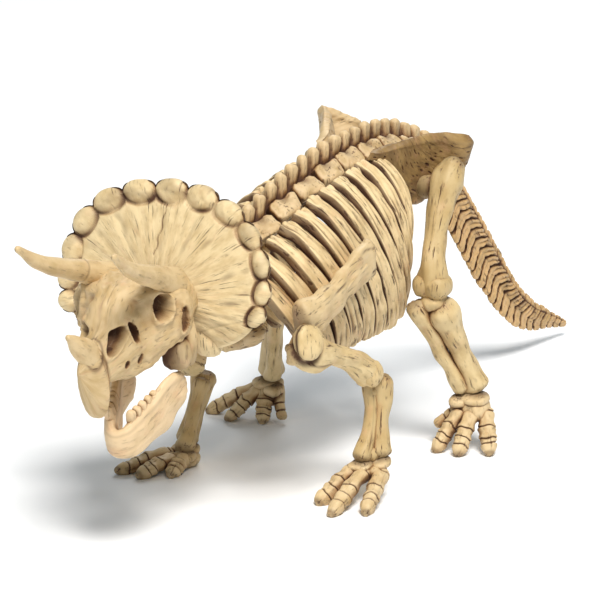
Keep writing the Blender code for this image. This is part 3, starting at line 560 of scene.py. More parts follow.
def shaft(stations, across=(1, 0, 0), along=48, around=32, power=2.0, domes=(0.8, 0.8)):
    """A bone through stations (x, y, z, half across, half deep), closed by quarters of an ellipse."""
    rows = course(stations, along)
    lift = np.radians(np.linspace(0, 86, 7)[1:])
    ends = []
    for end, behind, dome in ((0, 1, domes[0]), (-1, -2, domes[1])):
        out = unit(rows[end, :3] - rows[behind, :3])
        middle = rows[end, :3] + out * dome * rows[end, 3:5].min() * np.sin(lift)[:, None]
        ends.append(np.hstack([middle, rows[end, 3:5] * np.cos(lift)[:, None]]))
    rows = np.vstack([ends[0][::-1], rows, ends[1]])
    middle = rows[:, :3]
    tangent = unit(np.gradient(middle, axis=0))
    side = unit(across - tangent * (tangent @ across)[:, None])
    deep = np.cross(tangent, side)
    u, v = ring(around, power)
    u, v = rows[:, 3:4] * u, rows[:, 4:5] * v
    points = middle[:, None] + side[:, None] * u[..., None] + deep[:, None] * v[..., None]
    return Shell(points, stacked(length_to(middle)[:, None], u, v), 0 * u)


def sided(side, stations):
    """The stations of the left side, or those of the right: the same with x turned over."""
    return [(side * x, *rest) for x, *rest in stations]


# The fold behind each cheek, from its top down, and the dark block that fills the hollow beside it: painted
# shade, lighter on its outer side where light reaches.
CHEEK = [(11.4, -12.4, -4.6, 1.3, 1.8), (12.0, -12.2, -9.4, 1.3, 1.8), (10.8, -11.6, -14.6, 1.2, 1.9)]
CHEEK_SHADE_BLOCK = {"halves": (3.4, 3.6, 3.9), "power": 3.4, "along": 44, "around": 56}
skull_shells = [skull_shell()]
for side, _ in SIDES:
    cheek = weathered(shaft(sided(side, CHEEK), power=2.6, along=60, around=48), 31 + side)
    skull_shells.append(pushed(cheek, 0, 0.35 * share((cheek.grain[..., 0] - 5) / 6)))
    # The block is painted shade: dark, and lighter towards its outer side.
    hollow = weathered(knob((side * 9.2, -13.2, -11.8), **CHEEK_SHADE_BLOCK), 36 + side, 0.25)
    skull_shells.append(pushed(hollow, 0, share(0.9 - 0.16 * (np.abs(hollow.points[..., 0]) - 8))))
skull_paint = bone_paint("skull_plastic", (0.62, 0.46, 0.25), 0.55, 0.36, streaks=0.35, pits=0.45)
mould("skull", skull_shells, skull_paint, of_head=True)


# -------- horns
# Three smooth horns of the same plastic: two long ones plugged into the brow over the eyes, the right one
# with a seam, and a short one on the nose. Hardly any wash stays on them but a few streaks along each.

BROW_HORN = [
    (8.2, -12.0, 4.2, 3.8, 3.7),
    (8.8, -16.4, 6.1, 3.1, 3.1),
    (9.6, -21.5, 8.5, 2.7, 2.7),
    (10.8, -29.0, 11.4, 2.3, 2.3),
    (11.8, -37.0, 15.3, 1.65, 1.65),
    (12.3, -43.0, 19.8, 0.8, 0.8),
]
NOSE_HORN = [
    (0, -36.4, -7.0, 2.2, 3.9),
    (0, -39.8, -3.9, 1.9, 3.0),
    (0, -43.2, -1.1, 1.3, 1.9),
    (0, -45.4, 0.8, 0.7, 0.8),
]
HORN_SEAM = 12.4
horn_paint = bone_paint("horn_plastic", (0.67, 0.5, 0.275), 0.45, 0.15, streaks=0.35, pits=0.08, rough=0.4)


def ringed(shell, places, depth, ink):
    """The shell with a dark groove round it at each place along its grain."""
    cut = sum(bump_at(shell.grain[..., 0], place, 0.2) for place in places)
    return pushed(shell, -depth * cut, ink * cut)


for side, name in SIDES:
    horn = shaft(sided(side, BROW_HORN), along=110, around=48, domes=(0.3, 1.3))
    if side < 0:
        horn = ringed(horn, [HORN_SEAM], 0.25, 0.6)
    horn = weathered(horn, 41 + side, 0.07, 0.03)
    mould(f"horn_brow_{name}", [horn], horn_paint, of_head=True)
nose = shaft(NOSE_HORN, along=60, around=48, domes=(0.3, 1.2))
mould("horn_nose", [weathered(nose, 44, 0.08, 0.03)], horn_paint, of_head=True)


# -------- lower jaw
# One curved bar of lighter plastic under the skull, hinged on nothing: it is glued behind the cheeks. Blunt
# teeth stand in a row along each side, and dark wash fills the groove at their feet.

JAW_MIDDLE = 1.2
# From the chin to the joint: x from the jaw's middle, backward, height, half thickness, half height.
JAW = [
    (0.0, -30.9, -29.2, 1.5, 3.4),
    (1.5, -30.4, -28.9, 1.5, 3.6),
    (3.0, -28.0, -27.9, 1.6, 4.4),
    (4.6, -23.6, -26.0, 1.6, 5.0),
    (6.8, -17.8, -22.4, 1.5, 5.6),
    (7.8, -14.2, -20.6, 1.3, 4.0),
    (8.3, -11.8, -20.0, 1.1, 2.6),
]
JAW_RIGHT_END = [(7.0, -13.6, -22.2, 1.3, 4.4), (6.2, -9.8, -21.8, 1.1, 3.6)]
JAW_ALONG, JAW_AROUND = 220, 64
JAW_TEETH, TOOTH_HALVES = 5, (1.1, 0.95, 1.8)
TOOTH_FROM, TOOTH_TO = np.array((5.1, -21.8, -20.6)), np.array((2.9, -28.2, -23.4))


def jaw_shell():
    """A bar from the left end round the chin to the right end: upright rings that close towards both ends."""
    stations = np.array(JAW[::-1] + sided(-1, JAW[1:-2] + JAW_RIGHT_END)) + (JAW_MIDDLE, 0, 0, 0, 0)
    rows = course(stations, JAW_ALONG)
    middle = rows[:, :3]
    out = np.cross(unit(np.gradient(middle, axis=0) * (1, 1, 0)), (0, 0, 1.0))
    from_end = np.minimum(np.arange(JAW_ALONG), np.arange(JAW_ALONG)[::-1])
    end = np.sqrt(np.clip(from_end / 10, 0.03, 1))[:, None]
    u, v = ring(JAW_AROUND, 2.5)
    u, v = rows[:, 3:4] * u * end, rows[:, 4:5] * v * end
    points = middle[:, None] + out[:, None] * u[..., None]
    points[..., 2] += v
    groove = bump_at(v / rows[:, 4:5], 0.62, 0.10)
    return Shell(points, stacked(length_to(middle)[:, None], u, v), 0.25 * groove)


jaw_shells = [weathered(jaw_shell(), 51, 0.18, 0.06)]
for side, _ in SIDES:
    for k in range(JAW_TEETH):
        at = (TOOTH_FROM + (TOOTH_TO - TOOTH_FROM) * k / (JAW_TEETH - 1)) * (side, 1, 1) + (JAW_MIDDLE, 0, 0)
        tooth = knob(at, TOOTH_HALVES, (10, side * 8, side * 12), power=3.0, around=24)
        jaw_shells.append(weathered(tooth, 55 + k, 0.15))
jaw_paint = bone_paint("jaw_plastic", (0.74, 0.55, 0.33), 0.30, 0.40, streaks=0.30, pits=0.20)
mould("lower_jaw", jaw_shells, jaw_paint, of_head=True)


# -------- neck and back
# Vertebrae moulded together in one column: each has a drum and a leaning slab for its neural spine, and every
# second one a squarish block on each side for the ribs to end at. The gaps between them are filled with dark
# bars, which are painted shade.

CREST_Y, CREST_Z, FALL_FRONT, FALL_REAR = 24.0, 80.8, 0.0037, 0.0088
FIRST_DORSAL_Y, VERTEBRA_PITCH, DORSALS, SACRUM_FROM = -30.0, 4.85, 18, 15
NECK_LINE = [
    (-4.0, -57.0, 55.6, 2.6, 2.8),
    (-2.8, -48.0, 55.8, 2.8, 3.0),
    (-0.8, -40.0, 56.2, 3.0, 3.2),
    (0.0, -34.6, 56.8, 3.0, 3.2),
]
# The vertebrae of the neck: x and y of the first one, and the step to the next.
NECK_COUNT, NECK_FIRST, NECK_STEP = 4, np.array((-3.2, -50.6)), np.array((0.9, 4.6))
# Along a slab from its root: place, and how many times its half thickness and its half length it has there.
SLAB_FORM = ((0.0, 1.9, 1.02), (0.35, 1.4, 0.95), (0.72, 1.1, 0.97), (1.0, 1.0, 0.92))
# Dark bars of painted shade that fill the column's gaps: x, depth under the crest, half across, half high, end.
SHADE_BARS = ((0, 9.4, 0.8, 4.0, 56), (2.6, 8.0, 1.8, 1.4, 39), (-2.6, 8.0, 1.8, 1.4, 39))
SHADE_BARS_FROM, SHADE_BARS_STEP = -31, 6
back_paint = bone_paint("back_plastic", (0.69, 0.51, 0.285), 0.55, streaks=0.75, pits=0.60, hollow_shade=1.2)


def crest(y):
    """Height of the tips of the neural spines: two parabolas that meet at the highest point."""
    return CREST_Z - (FALL_FRONT if y < CREST_Y else FALL_REAR) * (y - CREST_Y) ** 2


def spread(start, end, sizes):
    """Stations between two places: at t of the way, half across and half deep."""
    start, end = np.array(start, float), np.array(end, float)
    return [(*(start + (end - start) * t), a, d) for t, a, d in sizes]


def slab(root, tip, half_thick, half_long, seed):
    """A flat leaning blade from its broad root, dark with wash, to its rough, rounded tip."""
    rows = spread(root, tip, [(t, half_thick * a, half_long * b) for t, a, b in SLAB_FORM])
    blade = shaft(rows, along=30, power=2.5, domes=(0.4, 0.95))
    up, back = blade.grain[..., 0], np.abs(blade.grain[..., 2])
    ink = 0.65 * share((5.2 - up) / 2.5) + 0.5 * share((back - 1.15) / 0.5) * share((9 - up) / 2)
    return weathered(pushed(blade, 0, ink), seed, 0.2, 0.08)


def bump_round(points, centre, halves):
    """The product of the three axes' bells round a centre."""
    return bump_at(points, centre, halves).prod(axis=-1)


def roof_block(side, y, seed):
    """A squarish block that slopes from the slabs to the ribs like a roof, with wash in a pit at its top."""
    z = crest(y) - 6.0
    fall = math.degrees(math.atan(crest(y + 1) - crest(y)))
    block = knob((side * 3.4, y, z), (2.7, 4.5, 1.8), (fall, side * 40, 0), power=4.6, along=40, around=64)
    pit = bump_round(block.points, (side * 2.2, y, z + 2.2), (2.0, 1.5, 1.7))
    return weathered(pushed(block, -0.7 * pit, 0.9 * pit), seed, 0.28, 0.1)


neck_shells = [weathered(shaft(NECK_LINE, along=60, around=40), 61)]
for k in range(NECK_COUNT):
    x, y = NECK_FIRST + NECK_STEP * k
    neck_shells.append(slab((x, y - 0.4, 56.6 + 1.1 * k), (x, y + 1.0, 62.2 + 1.1 * k), 1.2, 1.5, 62 + k))
    drum = knob((x, y, 58.0 + 0.7 * k), (5.6, 1.8, 1.9), power=3.0, along=30, around=36)
    neck_shells.append(weathered(drum, 66 + k, 0.2))
mould("neck", neck_shells, back_paint)

spine_shells = []
for k in range(DORSALS):
    y = FIRST_DORSAL_Y + VERTEBRA_PITCH * k
    top = crest(y + 1)
    spine_shells.append(slab((0, y - 0.9, top - 9.0), (0, y + 1.3, top - 0.7), 1.2, 1.8, 70 + k))
    drum = knob((0, y, top - 11.5), (3.2, 2.5, 3.9), power=3.4, along=24, around=36)
    spine_shells.append(weathered(drum, 90 + k, 0.15))
    if k < SACRUM_FROM and k % 2 == 0:
        for side, _ in SIDES:
            spine_shells.append(roof_block(side, y + VERTEBRA_PITCH / 2, 110 + 2 * k + side))
# Dark bars of painted shade, laid in the column's gaps so that they read dark.
for x, down, half_across, half_high, end in SHADE_BARS:
    bar = [(x, y, crest(y) - down, half_across, half_high) for y in range(SHADE_BARS_FROM, end, SHADE_BARS_STEP)]
    bar = shaft(bar, along=70, around=24)
    spine_shells.append(bar._replace(wash=bar.wash + 0.8))
mould("spine", spine_shells, back_paint)


# -------- rib cage
# Eleven flat slats a side, moulded together at their heads, the first ones joined low down by a bar of
# gristle. Each curves out and back from the spine and ends under the belly, and is ridged along its outer
# face, with thin lines of brown wash.

RIB_COUNT, FIRST_RIB_Y, RIB_PITCH, RIB_HEAD_DEPTH = 11, -41.4, 5.9, 7.0
RIB_INNER_X, RIB_TOP_TURN, RIB_LOW_TURN = 3.8, 78.0, -56.0
RIB_HALF_DEEP, RIB_HALF_WIDE = 1.5, 2.65
RIB_LOW_Z, RIB_BREADTH, RIB_SWEEP = 31.8, 18.0, 22.0
RIB_ALONG, RIB_AROUND = 100, 56
# The bar of gristle that joins the low ends of the first ribs: x, y, z.
BREAST_BAR = [(9.4, -24.6, 34.6), (10.4, -19.0, 34.0), (10.8, -13.4, 32.4), (11.0, -7.5, 32.2)]
BREAST_BAR_HALVES = (1.9, 2.2)
rib_paint = bone_paint("rib_plastic", (0.82, 0.63, 0.35), 0.40, 0.35, streaks=0.95, drawn=10.0)


def rib_shell(side, i):
    """A slat round an ellipse that leans back: its ring is flat, with ridges along the outer face."""
    top_y = FIRST_RIB_Y + i * RIB_PITCH
    top_z = crest(top_y) - RIB_HEAD_DEPTH
    late, early = max(0, i - 5.8), max(0, 2 - i)
    low_z = RIB_LOW_Z + 0.25 * late + 0.8 * late**2 + 0.5 * early
    breadth = RIB_BREADTH - 0.55 * late - 1.2 * early
    sweep = max(RIB_SWEEP - 1.1 * late**2, 3.0)
    t = np.linspace(0, 1, RIB_ALONG)
    high, low = math.radians(RIB_TOP_TURN), math.radians(RIB_LOW_TURN)
    turn = high + (low - high) * t
    z = top_z + (top_z - low_z) / (math.sin(high) - math.sin(low)) * (np.sin(turn) - math.sin(high))
    x = side * (RIB_INNER_X + (breadth - RIB_INNER_X) * np.cos(turn))
    y = top_y + sweep * ((top_z - z) / (top_z - low_z)) ** 1.3
    middle = stacked(x, y, z)
    tangent = unit(np.gradient(middle, axis=0))
    out = middle - stacked(side * RIB_INNER_X, y, (z[0] + z[-1]) / 2)
    out = unit(out - tangent * (out * tangent).sum(axis=1, keepdims=True))
    wide = np.cross(tangent, out)
    length, t = length_to(middle)[:, None], t[:, None]
    u, v = ring(RIB_AROUND, 3.2)
    end = np.sqrt(np.clip((1 - t) / 0.045, 0.02, 1) * np.clip((t + 0.02) / 0.03, 0.02, 1))
    swell = 1 + 0.14 * bump_at(t, 0.0, 0.06) - 0.14 * bump_at(t, 0.13, 0.06) + 0.22 * bump_at(t, 0.32, 0.16)
    taper = (1 - (0.08 + 0.035 * i) * t) * (1 - 0.08 * max(0, i - 7) * t)
    deep, half = RIB_HALF_DEEP * (1 - 0.15 * t) * end, RIB_HALF_WIDE * swell * end * taper
    outside = share(u)
    chance = np.random.default_rng(200 + i)
    line = v + 0.12 * np.sin(t * 9 + chance.uniform(0, 6))
    ridged = deep * u * (1 + 0.13 * np.cos(7.5 * line) * outside)
    points = middle[:, None] + out[:, None] * ridged[..., None] + wide[:, None] * (half * v)[..., None]
    grain = stacked(length + 17 * i, half * v, deep * u + 31 * i)
    breaks = share(waves(stacked(length + 17 * i, 5 * i, 3), (9, 9, 9), 230 + i) + 0.2)
    cut = (bump_at(line, 0.42, 0.07) + bump_at(line, -0.40, 0.07)) * outside * breaks
    # Painted shade on the slats' side faces, so that the gaps between them read dark.
    sides = 0.75 * share((np.abs(v) - 0.80) / 0.12) * (u < 0.7) + 0 * t
    slat = pushed(Shell(points, grain, sides), -0.28 * cut, 0.9 * cut)
    lumps = 0.3 * waves(grain + 7 * i, (3, 3, 3), 280 + i) * bump_at(t, 0, 0.09)
    return weathered(pushed(slat, lumps), 250 + i, 0.12, 0.05)


for side, name in SIDES:
    cage = [rib_shell(side, i) for i in range(RIB_COUNT)]
    gristle = [(*place, *BREAST_BAR_HALVES) for place in sided(side, BREAST_BAR)]
    gristle = shaft(gristle, along=90, around=40, power=2.4)
    # The bar lies in shade low in the chest and is painted dark all over, darker still on one face: painted
    # shade.
    low_side = share(-gristle.grain[..., 2] / 2)
    cage.append(weathered(pushed(gristle, 0, 0.2 + 0.3 * low_side), 296 + side, 0.45, 0.1))
    mould(f"rib_cage_{name}", cage, rib_paint)


# -------- tail
# Twenty-four vertebrae that shrink towards the tip, moulded flat in three lengths. A leaning spine stands on
# each one and a longer chevron hangs under it, both swept back, so the tail looks plaited.

# Down the tail: y and z of the line of drums, reach of spines above it and chevrons below it, half breadth.
TAIL = [
    (55.5, 64.0, 5.2, 4.6, 3.1),
    (66.5, 55.2, 5.2, 6.7, 3.0),
    (78.6, 42.0, 5.6, 7.1, 2.7),
    (91.5, 27.6, 5.6, 6.7, 2.3),
    (100.6, 18.4, 5.2, 5.7, 2.0),
    (112.0, 10.8, 4.5, 4.2, 1.5),
    (123.0, 7.0, 2.8, 2.4, 1.0),
    (133.0, 3.6, 0.8, 0.8, 0.5),
]
TAIL_COUNT, TAIL_STEPS, TAIL_AROUND = 24, 26, 170
TAIL_LENGTHS = {"tail_base": (0, 9), "tail_middle": (9, 16), "tail_tip": (16, 24)}
tail_paint = bone_paint("tail_plastic", (0.67, 0.43, 0.195), 0.60, streaks=0.70, pits=0.45, hollow_shade=1.2)
tail_rows = course(TAIL, TAIL_STEPS * TAIL_COUNT + 1)
tail_way = unit(np.gradient(tail_rows[:, :2], axis=0))
tail_pitch = length_to(tail_rows[:, :2])[-1] / TAIL_COUNT
# Where the slant of the gaps turns, from -1 at the ends of the chevrons to 1 at the ends of the spines.
CHEVRON_FOOT, SPINE_FOOT = -0.25, 0.58


def tail_shell(first, last):
    """Tall rings, thin above and below, with a groove where the count of vertebrae so far less the slant is
    whole. The slant runs back along the spines and the chevrons, and curves over between their feet."""
    row = np.arange(TAIL_STEPS * first, TAIL_STEPS * last + 1)
    y, z, above, below, half = tail_rows[row].T[..., None]
    way = tail_way[row][:, None]
    u, v = ring(TAIL_AROUND, 2.1)
    reach = np.where(v > 0, above, below)
    across = np.sign(u) * np.abs(u) ** 0.7 * half * (0.46 + 0.54 * bump_at(v, 0.08, 0.42))
    middle = share((v - CHEVRON_FOOT) / (SPINE_FOOT - CHEVRON_FOOT))
    slant = 0.70 * below * np.maximum(CHEVRON_FOOT - v, 0) - 0.5 * above * np.maximum(v - SPINE_FOOT, 0)
    slant = slant + 1.25 * (above * SPINE_FOOT - below * CHEVRON_FOOT) * middle
    slant = slant / tail_pitch - 0.22 * np.sin(np.pi * middle)
    count = row[:, None] / TAIL_STEPS
    grain = stacked(count * tail_pitch, reach * v, across)
    uneven = waves(grain, (5, 4, 4), 300 + first)
    place = count - slant + 0.05 * uneven
    apart = place - np.round(place)
    gap = bump_at(apart, 0, 0.10)
    between = 0.45 * bump_at(np.abs(apart), 0.5, 0.05) * np.sin(np.pi * middle)
    foot = 1.2 * bump_at(v, SPINE_FOOT, 0.08) + 0.6 * bump_at(v, CHEVRON_FOOT, 0.05) * bump_at(apart, 0, 0.3)
    relief = 0.55 * np.sqrt(1 - (1.9 * apart) ** 2) - 0.9 * gap - 0.4 * between
    relief = np.clip(half / 2.4, 0.3, 1) * (relief - 0.4 * foot * (1 + 0.6 * uneven) - 0.3)
    notch = 1 - 0.16 * bump_at(apart, 0, 0.2) * share(np.abs(v) * 2.5 - 1.3)
    rise = reach * v * notch
    points = stacked(across * notch, y - way[..., 1] * rise, z + way[..., 0] * rise)
    ink = gap * (0.95 + 0.3 * uneven) + between + foot * share(0.7 + 0.6 * uneven)
    ink = ink + 0.35 * share(uneven) * (np.abs(v - 0.2) < 0.4)
    return weathered(pushed(Shell(points, grain, 0 * across), relief, ink), 320 + first, 0.12, 0.07)


for name, (first, last) in TAIL_LENGTHS.items():
    mould(name, [tail_shell(first, last)], tail_paint)


# -------- hips
# Two wide hip blades like scoops, glued to the last vertebrae and pegged to the heads of the thighs. Both are
# pitted all over but for a thick upper lip. The left one is painted in a much darker copy of the right one's
# plastic: painted shade, since its seen face lies in shade.

# Rows from the front back, each through its low edge, its belly and its top edge.
ILIUM = [
    [(7.4, 13.5, 75.0), (7.5, 14.2, 75.8), (7.7, 15.0, 76.6)],
    [(7.8, 19.0, 73.8), (8.2, 19.4, 75.4), (9.4, 20.0, 77.4)],
    [(8.6, 22.6, 67.0), (9.6, 24.0, 73.0), (12.5, 25.5, 79.0)],
    [(11.0, 29.5, 62.4), (13.0, 32.0, 71.5), (17.4, 33.5, 80.0)],
    [(13.0, 34.5, 62.4), (21.5, 38.5, 69.6), (21.0, 38.5, 79.3)],
    [(10.0, 42.0, 64.5), (14.5, 46.0, 69.0), (15.0, 47.5, 74.6)],
]
ILIUM_ALONG, ILIUM_UP = 260, 110
ILIUM_ROLL, ILIUM_HALF = 0.062, 1.1
HIP_HOLLOW, HOLLOW_HALF = np.array((12.4, 31.0, 66.2)), 2.2
HIP_PEG = [(10.0, 30.0, 68.0, 3.0, 3.6), (10.4, 32.0, 62.5, 2.8, 3.3)]
hip_paints = {
    # The left blade's plastic is a dark copy of the right one's: painted shade.
    1: bone_paint("hip_plastic_left_painted_shade", (0.22, 0.13, 0.045), 0.60, streaks=0.55, pits=0.9),
    -1: bone_paint("hip_plastic_right", (0.70, 0.52, 0.29), 0.35, streaks=0.40, pits=0.6),
}


def ilium_shell(side):
    """A scoop of parabolas from low edge to top edge, thickened both ways and rounded at its border."""
    rows = np.array(ILIUM) * (side, 1, 1)
    rows[:, :, 2] -= ILIUM_ROLL * rows[:, :, 0]
    low, middle, top = (course(rows[:, k], ILIUM_ALONG)[:, None] for k in range(3))
    u, v = np.linspace(0, 1, ILIUM_ALONG)[:, None], np.linspace(0, 1, ILIUM_UP)
    t = v[:, None]
    sheet = low * (1 - t) ** 2 + 2 * middle * t * (1 - t) + top * t**2
    normal = unit(np.cross(np.gradient(sheet, axis=0), np.gradient(sheet, axis=1)))
    rounded = np.sqrt(np.clip(np.minimum(np.minimum(v, 1 - v) / 0.20, np.minimum(u, 1 - u) / 0.12), 0.01, 1))
    half = (ILIUM_HALF + 0.8 * bump_at(v, 0.93, 0.07)) * rounded
    grain = stacked(length_to(sheet), length_to(sheet, 1), 0)
    pits = share(2.4 * waves(grain, (2.0, 0.8, 3), 401, 14) - 3.1) * share((0.86 - v) / 0.1)
    out = normal * (half - 0.35 * pits * rounded)[..., None]
    hollow = bump_round(sheet, HIP_HOLLOW * (side, 1, 1), HOLLOW_HALF)
    ink = np.maximum(0.8 * pits, hollow) + 0.12 * share(0.85 - v)
    return two_faced(sheet + out, sheet - out, grain, ink, ink)


for side, name in SIDES:
    hip = [weathered(ilium_shell(side), 410 + side, 0.10, 0.06)]
    hip.append(weathered(shaft(sided(side, HIP_PEG), along=40), 413 + side))
    mould(f"ilium_{name}", hip, hip_paints[side])


# -------- limb bones
# Shoulder blades, upper arms, forearms of two bones, thighs and shins of two bones: smooth plastic shafts with
# knuckle ends, pushed together and glued. Long cracks hold dark wash, and so do the ends at the joints. The
# forearms and thighs wear a darker copy of the limbs' plastic, which is painted shade, and the ball at each
# thigh's head is painted dark as shade.

# How much lower the right limbs hang, and the joints of both sides: x outwards from the spine, y and z.
SHOULDER_DROP = {1: 0.0, -1: 3.0}
HIP_DROP = {1: 0.0, -1: 2.6}
ELBOW = {1: (25.0, -16.0, 30.6), -1: (25.6, -15.0, 24.6)}
FOREARM_TOP = {1: (26.0, -10.4, 26.4), -1: (24.8, -11.0, 19.6)}
WRIST = {1: (27.6, -13.6, 10.6), -1: (24.6, -18.6, 6.4)}
KNEE = {1: (23.0, 19.6, 40.8), -1: (23.0, 19.0, 36.4)}
ANKLE = {1: (28.4, 31.4, 14.6), -1: (28.2, 25.4, 11.0)}
# The lighter bone of the forearm lies this far from the heavier one, and bows away from it in the middle.
RADIUS_ASIDE, RADIUS_BOW = np.array((-2.0, -4.4, -0.6)), 0.26
# Along each bone between two joints: place, half across, half deep.
ULNA = ((0, 3.2, 3.4), (0.25, 2.6, 2.7), (0.55, 2.1, 2.3), (0.85, 2.5, 2.6), (1, 2.9, 3.1))
RADIUS = ((0, 1.9, 1.9), (0.35, 1.6, 1.7), (0.75, 1.7, 1.8), (1, 2.4, 2.6))
TIBIA = ((0, 4.5, 4.1), (0.2, 3.6, 3.4), (0.5, 2.6, 2.7), (0.8, 2.8, 2.9), (1, 3.4, 3.4))
FIBULA = ((0, 2.7, 2.7), (0.25, 2.1, 2.1), (0.6, 1.8, 1.8), (1, 2.3, 2.3))
# The cap on the head of the upper arm.
CAP_AT, CAP_HALVES, CAP_TURNS = np.array((24.6, -41.2, 43.8)), (4.4, 3.7, 2.4), np.array((0, 78, -20))
CAP_ALONG = 44
SMOOTH = {"dust": 0.50, "blush": 0.26, "pits": 0.2, "drawn": 11.0}
limb_paint = bone_paint("limb_plastic", (0.71, 0.545, 0.29), streaks=0.90, **SMOOTH)
# A darker copy of the limb plastic for the thighs and forearms: painted shade.
shaded_limb_paint = bone_paint("limb_plastic_painted_shade", (0.57, 0.42, 0.205), streaks=0.95, **SMOOTH)
shoulder_paint = bone_paint("shoulder_plastic", (0.68, 0.51, 0.28), 0.45, streaks=0.60, drawn=11.0)


def cracked(shell, seed, depth=0.28, ink=0.8):
    """The shell with wandering dark cracks along it that fade in and out."""
    place = shell.grain
    turn = np.arctan2(place[..., 2], place[..., 1])
    wander = waves(place * (1, 0, 0), (16, 1, 1), seed)
    live = share(waves(place * (1, 0.3, 0.3) + seed, (11, 9, 9), seed + 1) + 0.25)
    cut = bump_at(np.sin(1.5 * turn + 0.5 * wander + seed), 0, 0.07) * live
    return pushed(shell, -depth * cut, ink * cut)


def limb(stations, seed, along=110, around=48, power=2.1, domes=(0.7, 0.7)):
    """A shaft with wash at its ends, weathering and cracks."""
    bone = shaft(stations, along=along, around=around, power=power, domes=domes)
    length = bone.grain[..., 0]
    ends = 0.6 * bump_at(length, length.min(), 1.3) + 0.6 * bump_at(length, length.max(), 1.3)
    return cracked(weathered(pushed(bone, 0, ends), seed, 0.20, 0.07), seed)


def knuckle(side, centre, halves, seed, knobbly, **form):
    """A weathered knob at a place whose x is counted outwards."""
    return weathered(knob(centre * np.array((side, 1, 1)), halves, **form), seed + side, knobbly)


for side, name in SIDES:
    drop = SHOULDER_DROP[side]
    blade = [
        (21.8, -9.4, 56.5 - drop, 1.9, 5.0),
        (22.2, -13.8, 55.7 - drop, 1.8, 4.9),
        (22.4, -22.4, 52.5 - drop, 1.8, 3.8),
        (22.2, -31.6, 49.3 - drop, 2.3, 4.4),
        (21.4, -38.0, 47.4 - drop / 2, 2.6, 5.4),
    ]
    ridge = [(x + 1.3, y, z + 0.4, 0.7, 0.7) for x, y, z, _, _ in blade[1:4]]
    shells = [limb(sided(side, blade), 500 + side, power=2.8, domes=(0.9, 0.8))]
    shells.append(weathered(shaft(sided(side, ridge), along=50, around=20), 503 + side))
    mould(f"scapula_{name}", shells, shoulder_paint)

    x, y, z = ELBOW[side]
    sag = (ELBOW[1][2] - z) / 2
    upper = [
        (22.6, -41.4, 42.6, 3.1, 4.4),
        (23.2, -37.6, 40.4 - 0.2 * sag, 3.1, 4.9),
        (24.0, -28.6, 37.6 - sag, 2.6, 2.5),
        (x * 0.99, y - 4.0, z + 3.0, 3.0, 3.1),
        (x, y, z, 3.7, 3.6),
    ]
    bone = limb(sided(side, upper), 510 + side, along=150, around=80)
    cap_at, cap_turns = CAP_AT * (side, 1, 1), CAP_TURNS * side
    off = np.linalg.norm((bone.points - cap_at) @ turned(cap_turns) / CAP_HALVES, axis=2)
    groove = bump_at(off, 1.2, 0.2)
    cap = knob(cap_at, CAP_HALVES, turns=cap_turns, power=2.5, along=CAP_ALONG, around=56)
    edge = bump_at(np.linspace(-1, 1, CAP_ALONG)[:, None], -0.05, 0.2)
    shells = [pushed(bone, -0.7 * groove, groove), weathered(pushed(cap, -0.6 * edge, edge), 513 + side, 0.2)]
    elbow = (x + 1.6, y + 0.4, z - 0.4), (2.6, 3.4, 3.3)
    shells.append(knuckle(side, *elbow, 516, 0.12, along=26, around=32))
    mould(f"humerus_{name}", shells, limb_paint)

    top, low = np.array(FOREARM_TOP[side]), np.array(WRIST[side])
    radius = np.array(spread(top + RADIUS_ASIDE * 0.7 - (low - top) * 0.03, low + RADIUS_ASIDE, RADIUS))
    radius[:, :3] -= RADIUS_ASIDE * RADIUS_BOW * np.sin(np.pi * np.arange(len(RADIUS)) / 3)[:, None]
    shells = [limb(sided(side, spread(top, low, ULNA)), 520 + side)]
    shells.append(limb(sided(side, radius), 523 + side, around=36))
    for end, seed in ((low, 526), (top - (0, 0, 1), 529)):
        shells.append(knuckle(side, end + RADIUS_ASIDE / 2, (2.0, 2.6, 1.9), seed, 0.15))
    mould(f"forearm_{name}", shells, shaded_limb_paint)

    drop = HIP_DROP[side]
    x, y, z = KNEE[side]
    thigh = [
        (21.4 - drop, 32.0, 71.2 - drop, 2.9, 3.3),
        (20.6 - drop, 30.0, 67.4 - drop, 4.0, 3.9),
        (20.8 - drop, 27.0, 62.0 - drop, 3.3, 3.3),
        (21.8 - drop / 2, 22.0, 53.0, 2.7, 2.8),
        (x, y, z + 7.0, 3.4, 3.5),
        (x, y, z + 3.2, 4.3, 3.9),
    ]
    # The ball at the thigh's head lies in shade under the hip and is painted dark: painted shade.
    ball = knob((side * (14.6 - drop), 30.6, 65.4 - drop), (3.4, 2.4, 3.0), along=30, around=36)
    shells = [limb(sided(side, thigh), 530 + side), weathered(pushed(ball, 0, 0.4), 532 + side, 0.15)]
    for out in (1.5, -1.5):
        condyle = (x + out, y - 0.3, z + 2.8), (3.2, 4.0, 3.2)
        shells.append(knuckle(side, *condyle, 534, 0.1, power=2.4, along=24, around=32))
    mould(f"femur_{name}", shells, shaded_limb_paint)

    foot_x, foot_y, foot_z = ANKLE[side]
    tibia = spread((x + 1.8, y + 1.6, z - 4.2), (foot_x, foot_y, foot_z + 1.8), TIBIA)
    fibula = spread((x - 2.8, y - 3.4, z - 2.6), (foot_x - 2.2, foot_y - 2.8, foot_z + 1.0), FIBULA)
    shells = [limb(sided(side, tibia), 540 + side, domes=(1.0, 0.7))]
    kneecap = (x + 0.4, y - 0.4, z - 1.2), (3.2, 3.6, 2.4)
    shells.append(knuckle(side, *kneecap, 545, 0.2, along=30, around=36))
    shells.append(limb(sided(side, fibula), 543 + side, around=36))
    mould(f"shin_{name}", shells, limb_paint)


# -------- feet
# Each foot is one moulding: pebbles of the wrist or ankle and three toes of four joints, with dark grooves
# at the joints and a pit in each hoof-like end. A hind foot also has a small inner toe. The soles are flat.

TOE_TIP_Z, FORE_TOE_HALF, HIND_TOE_HALF = 0.9, 2.15, 2.25
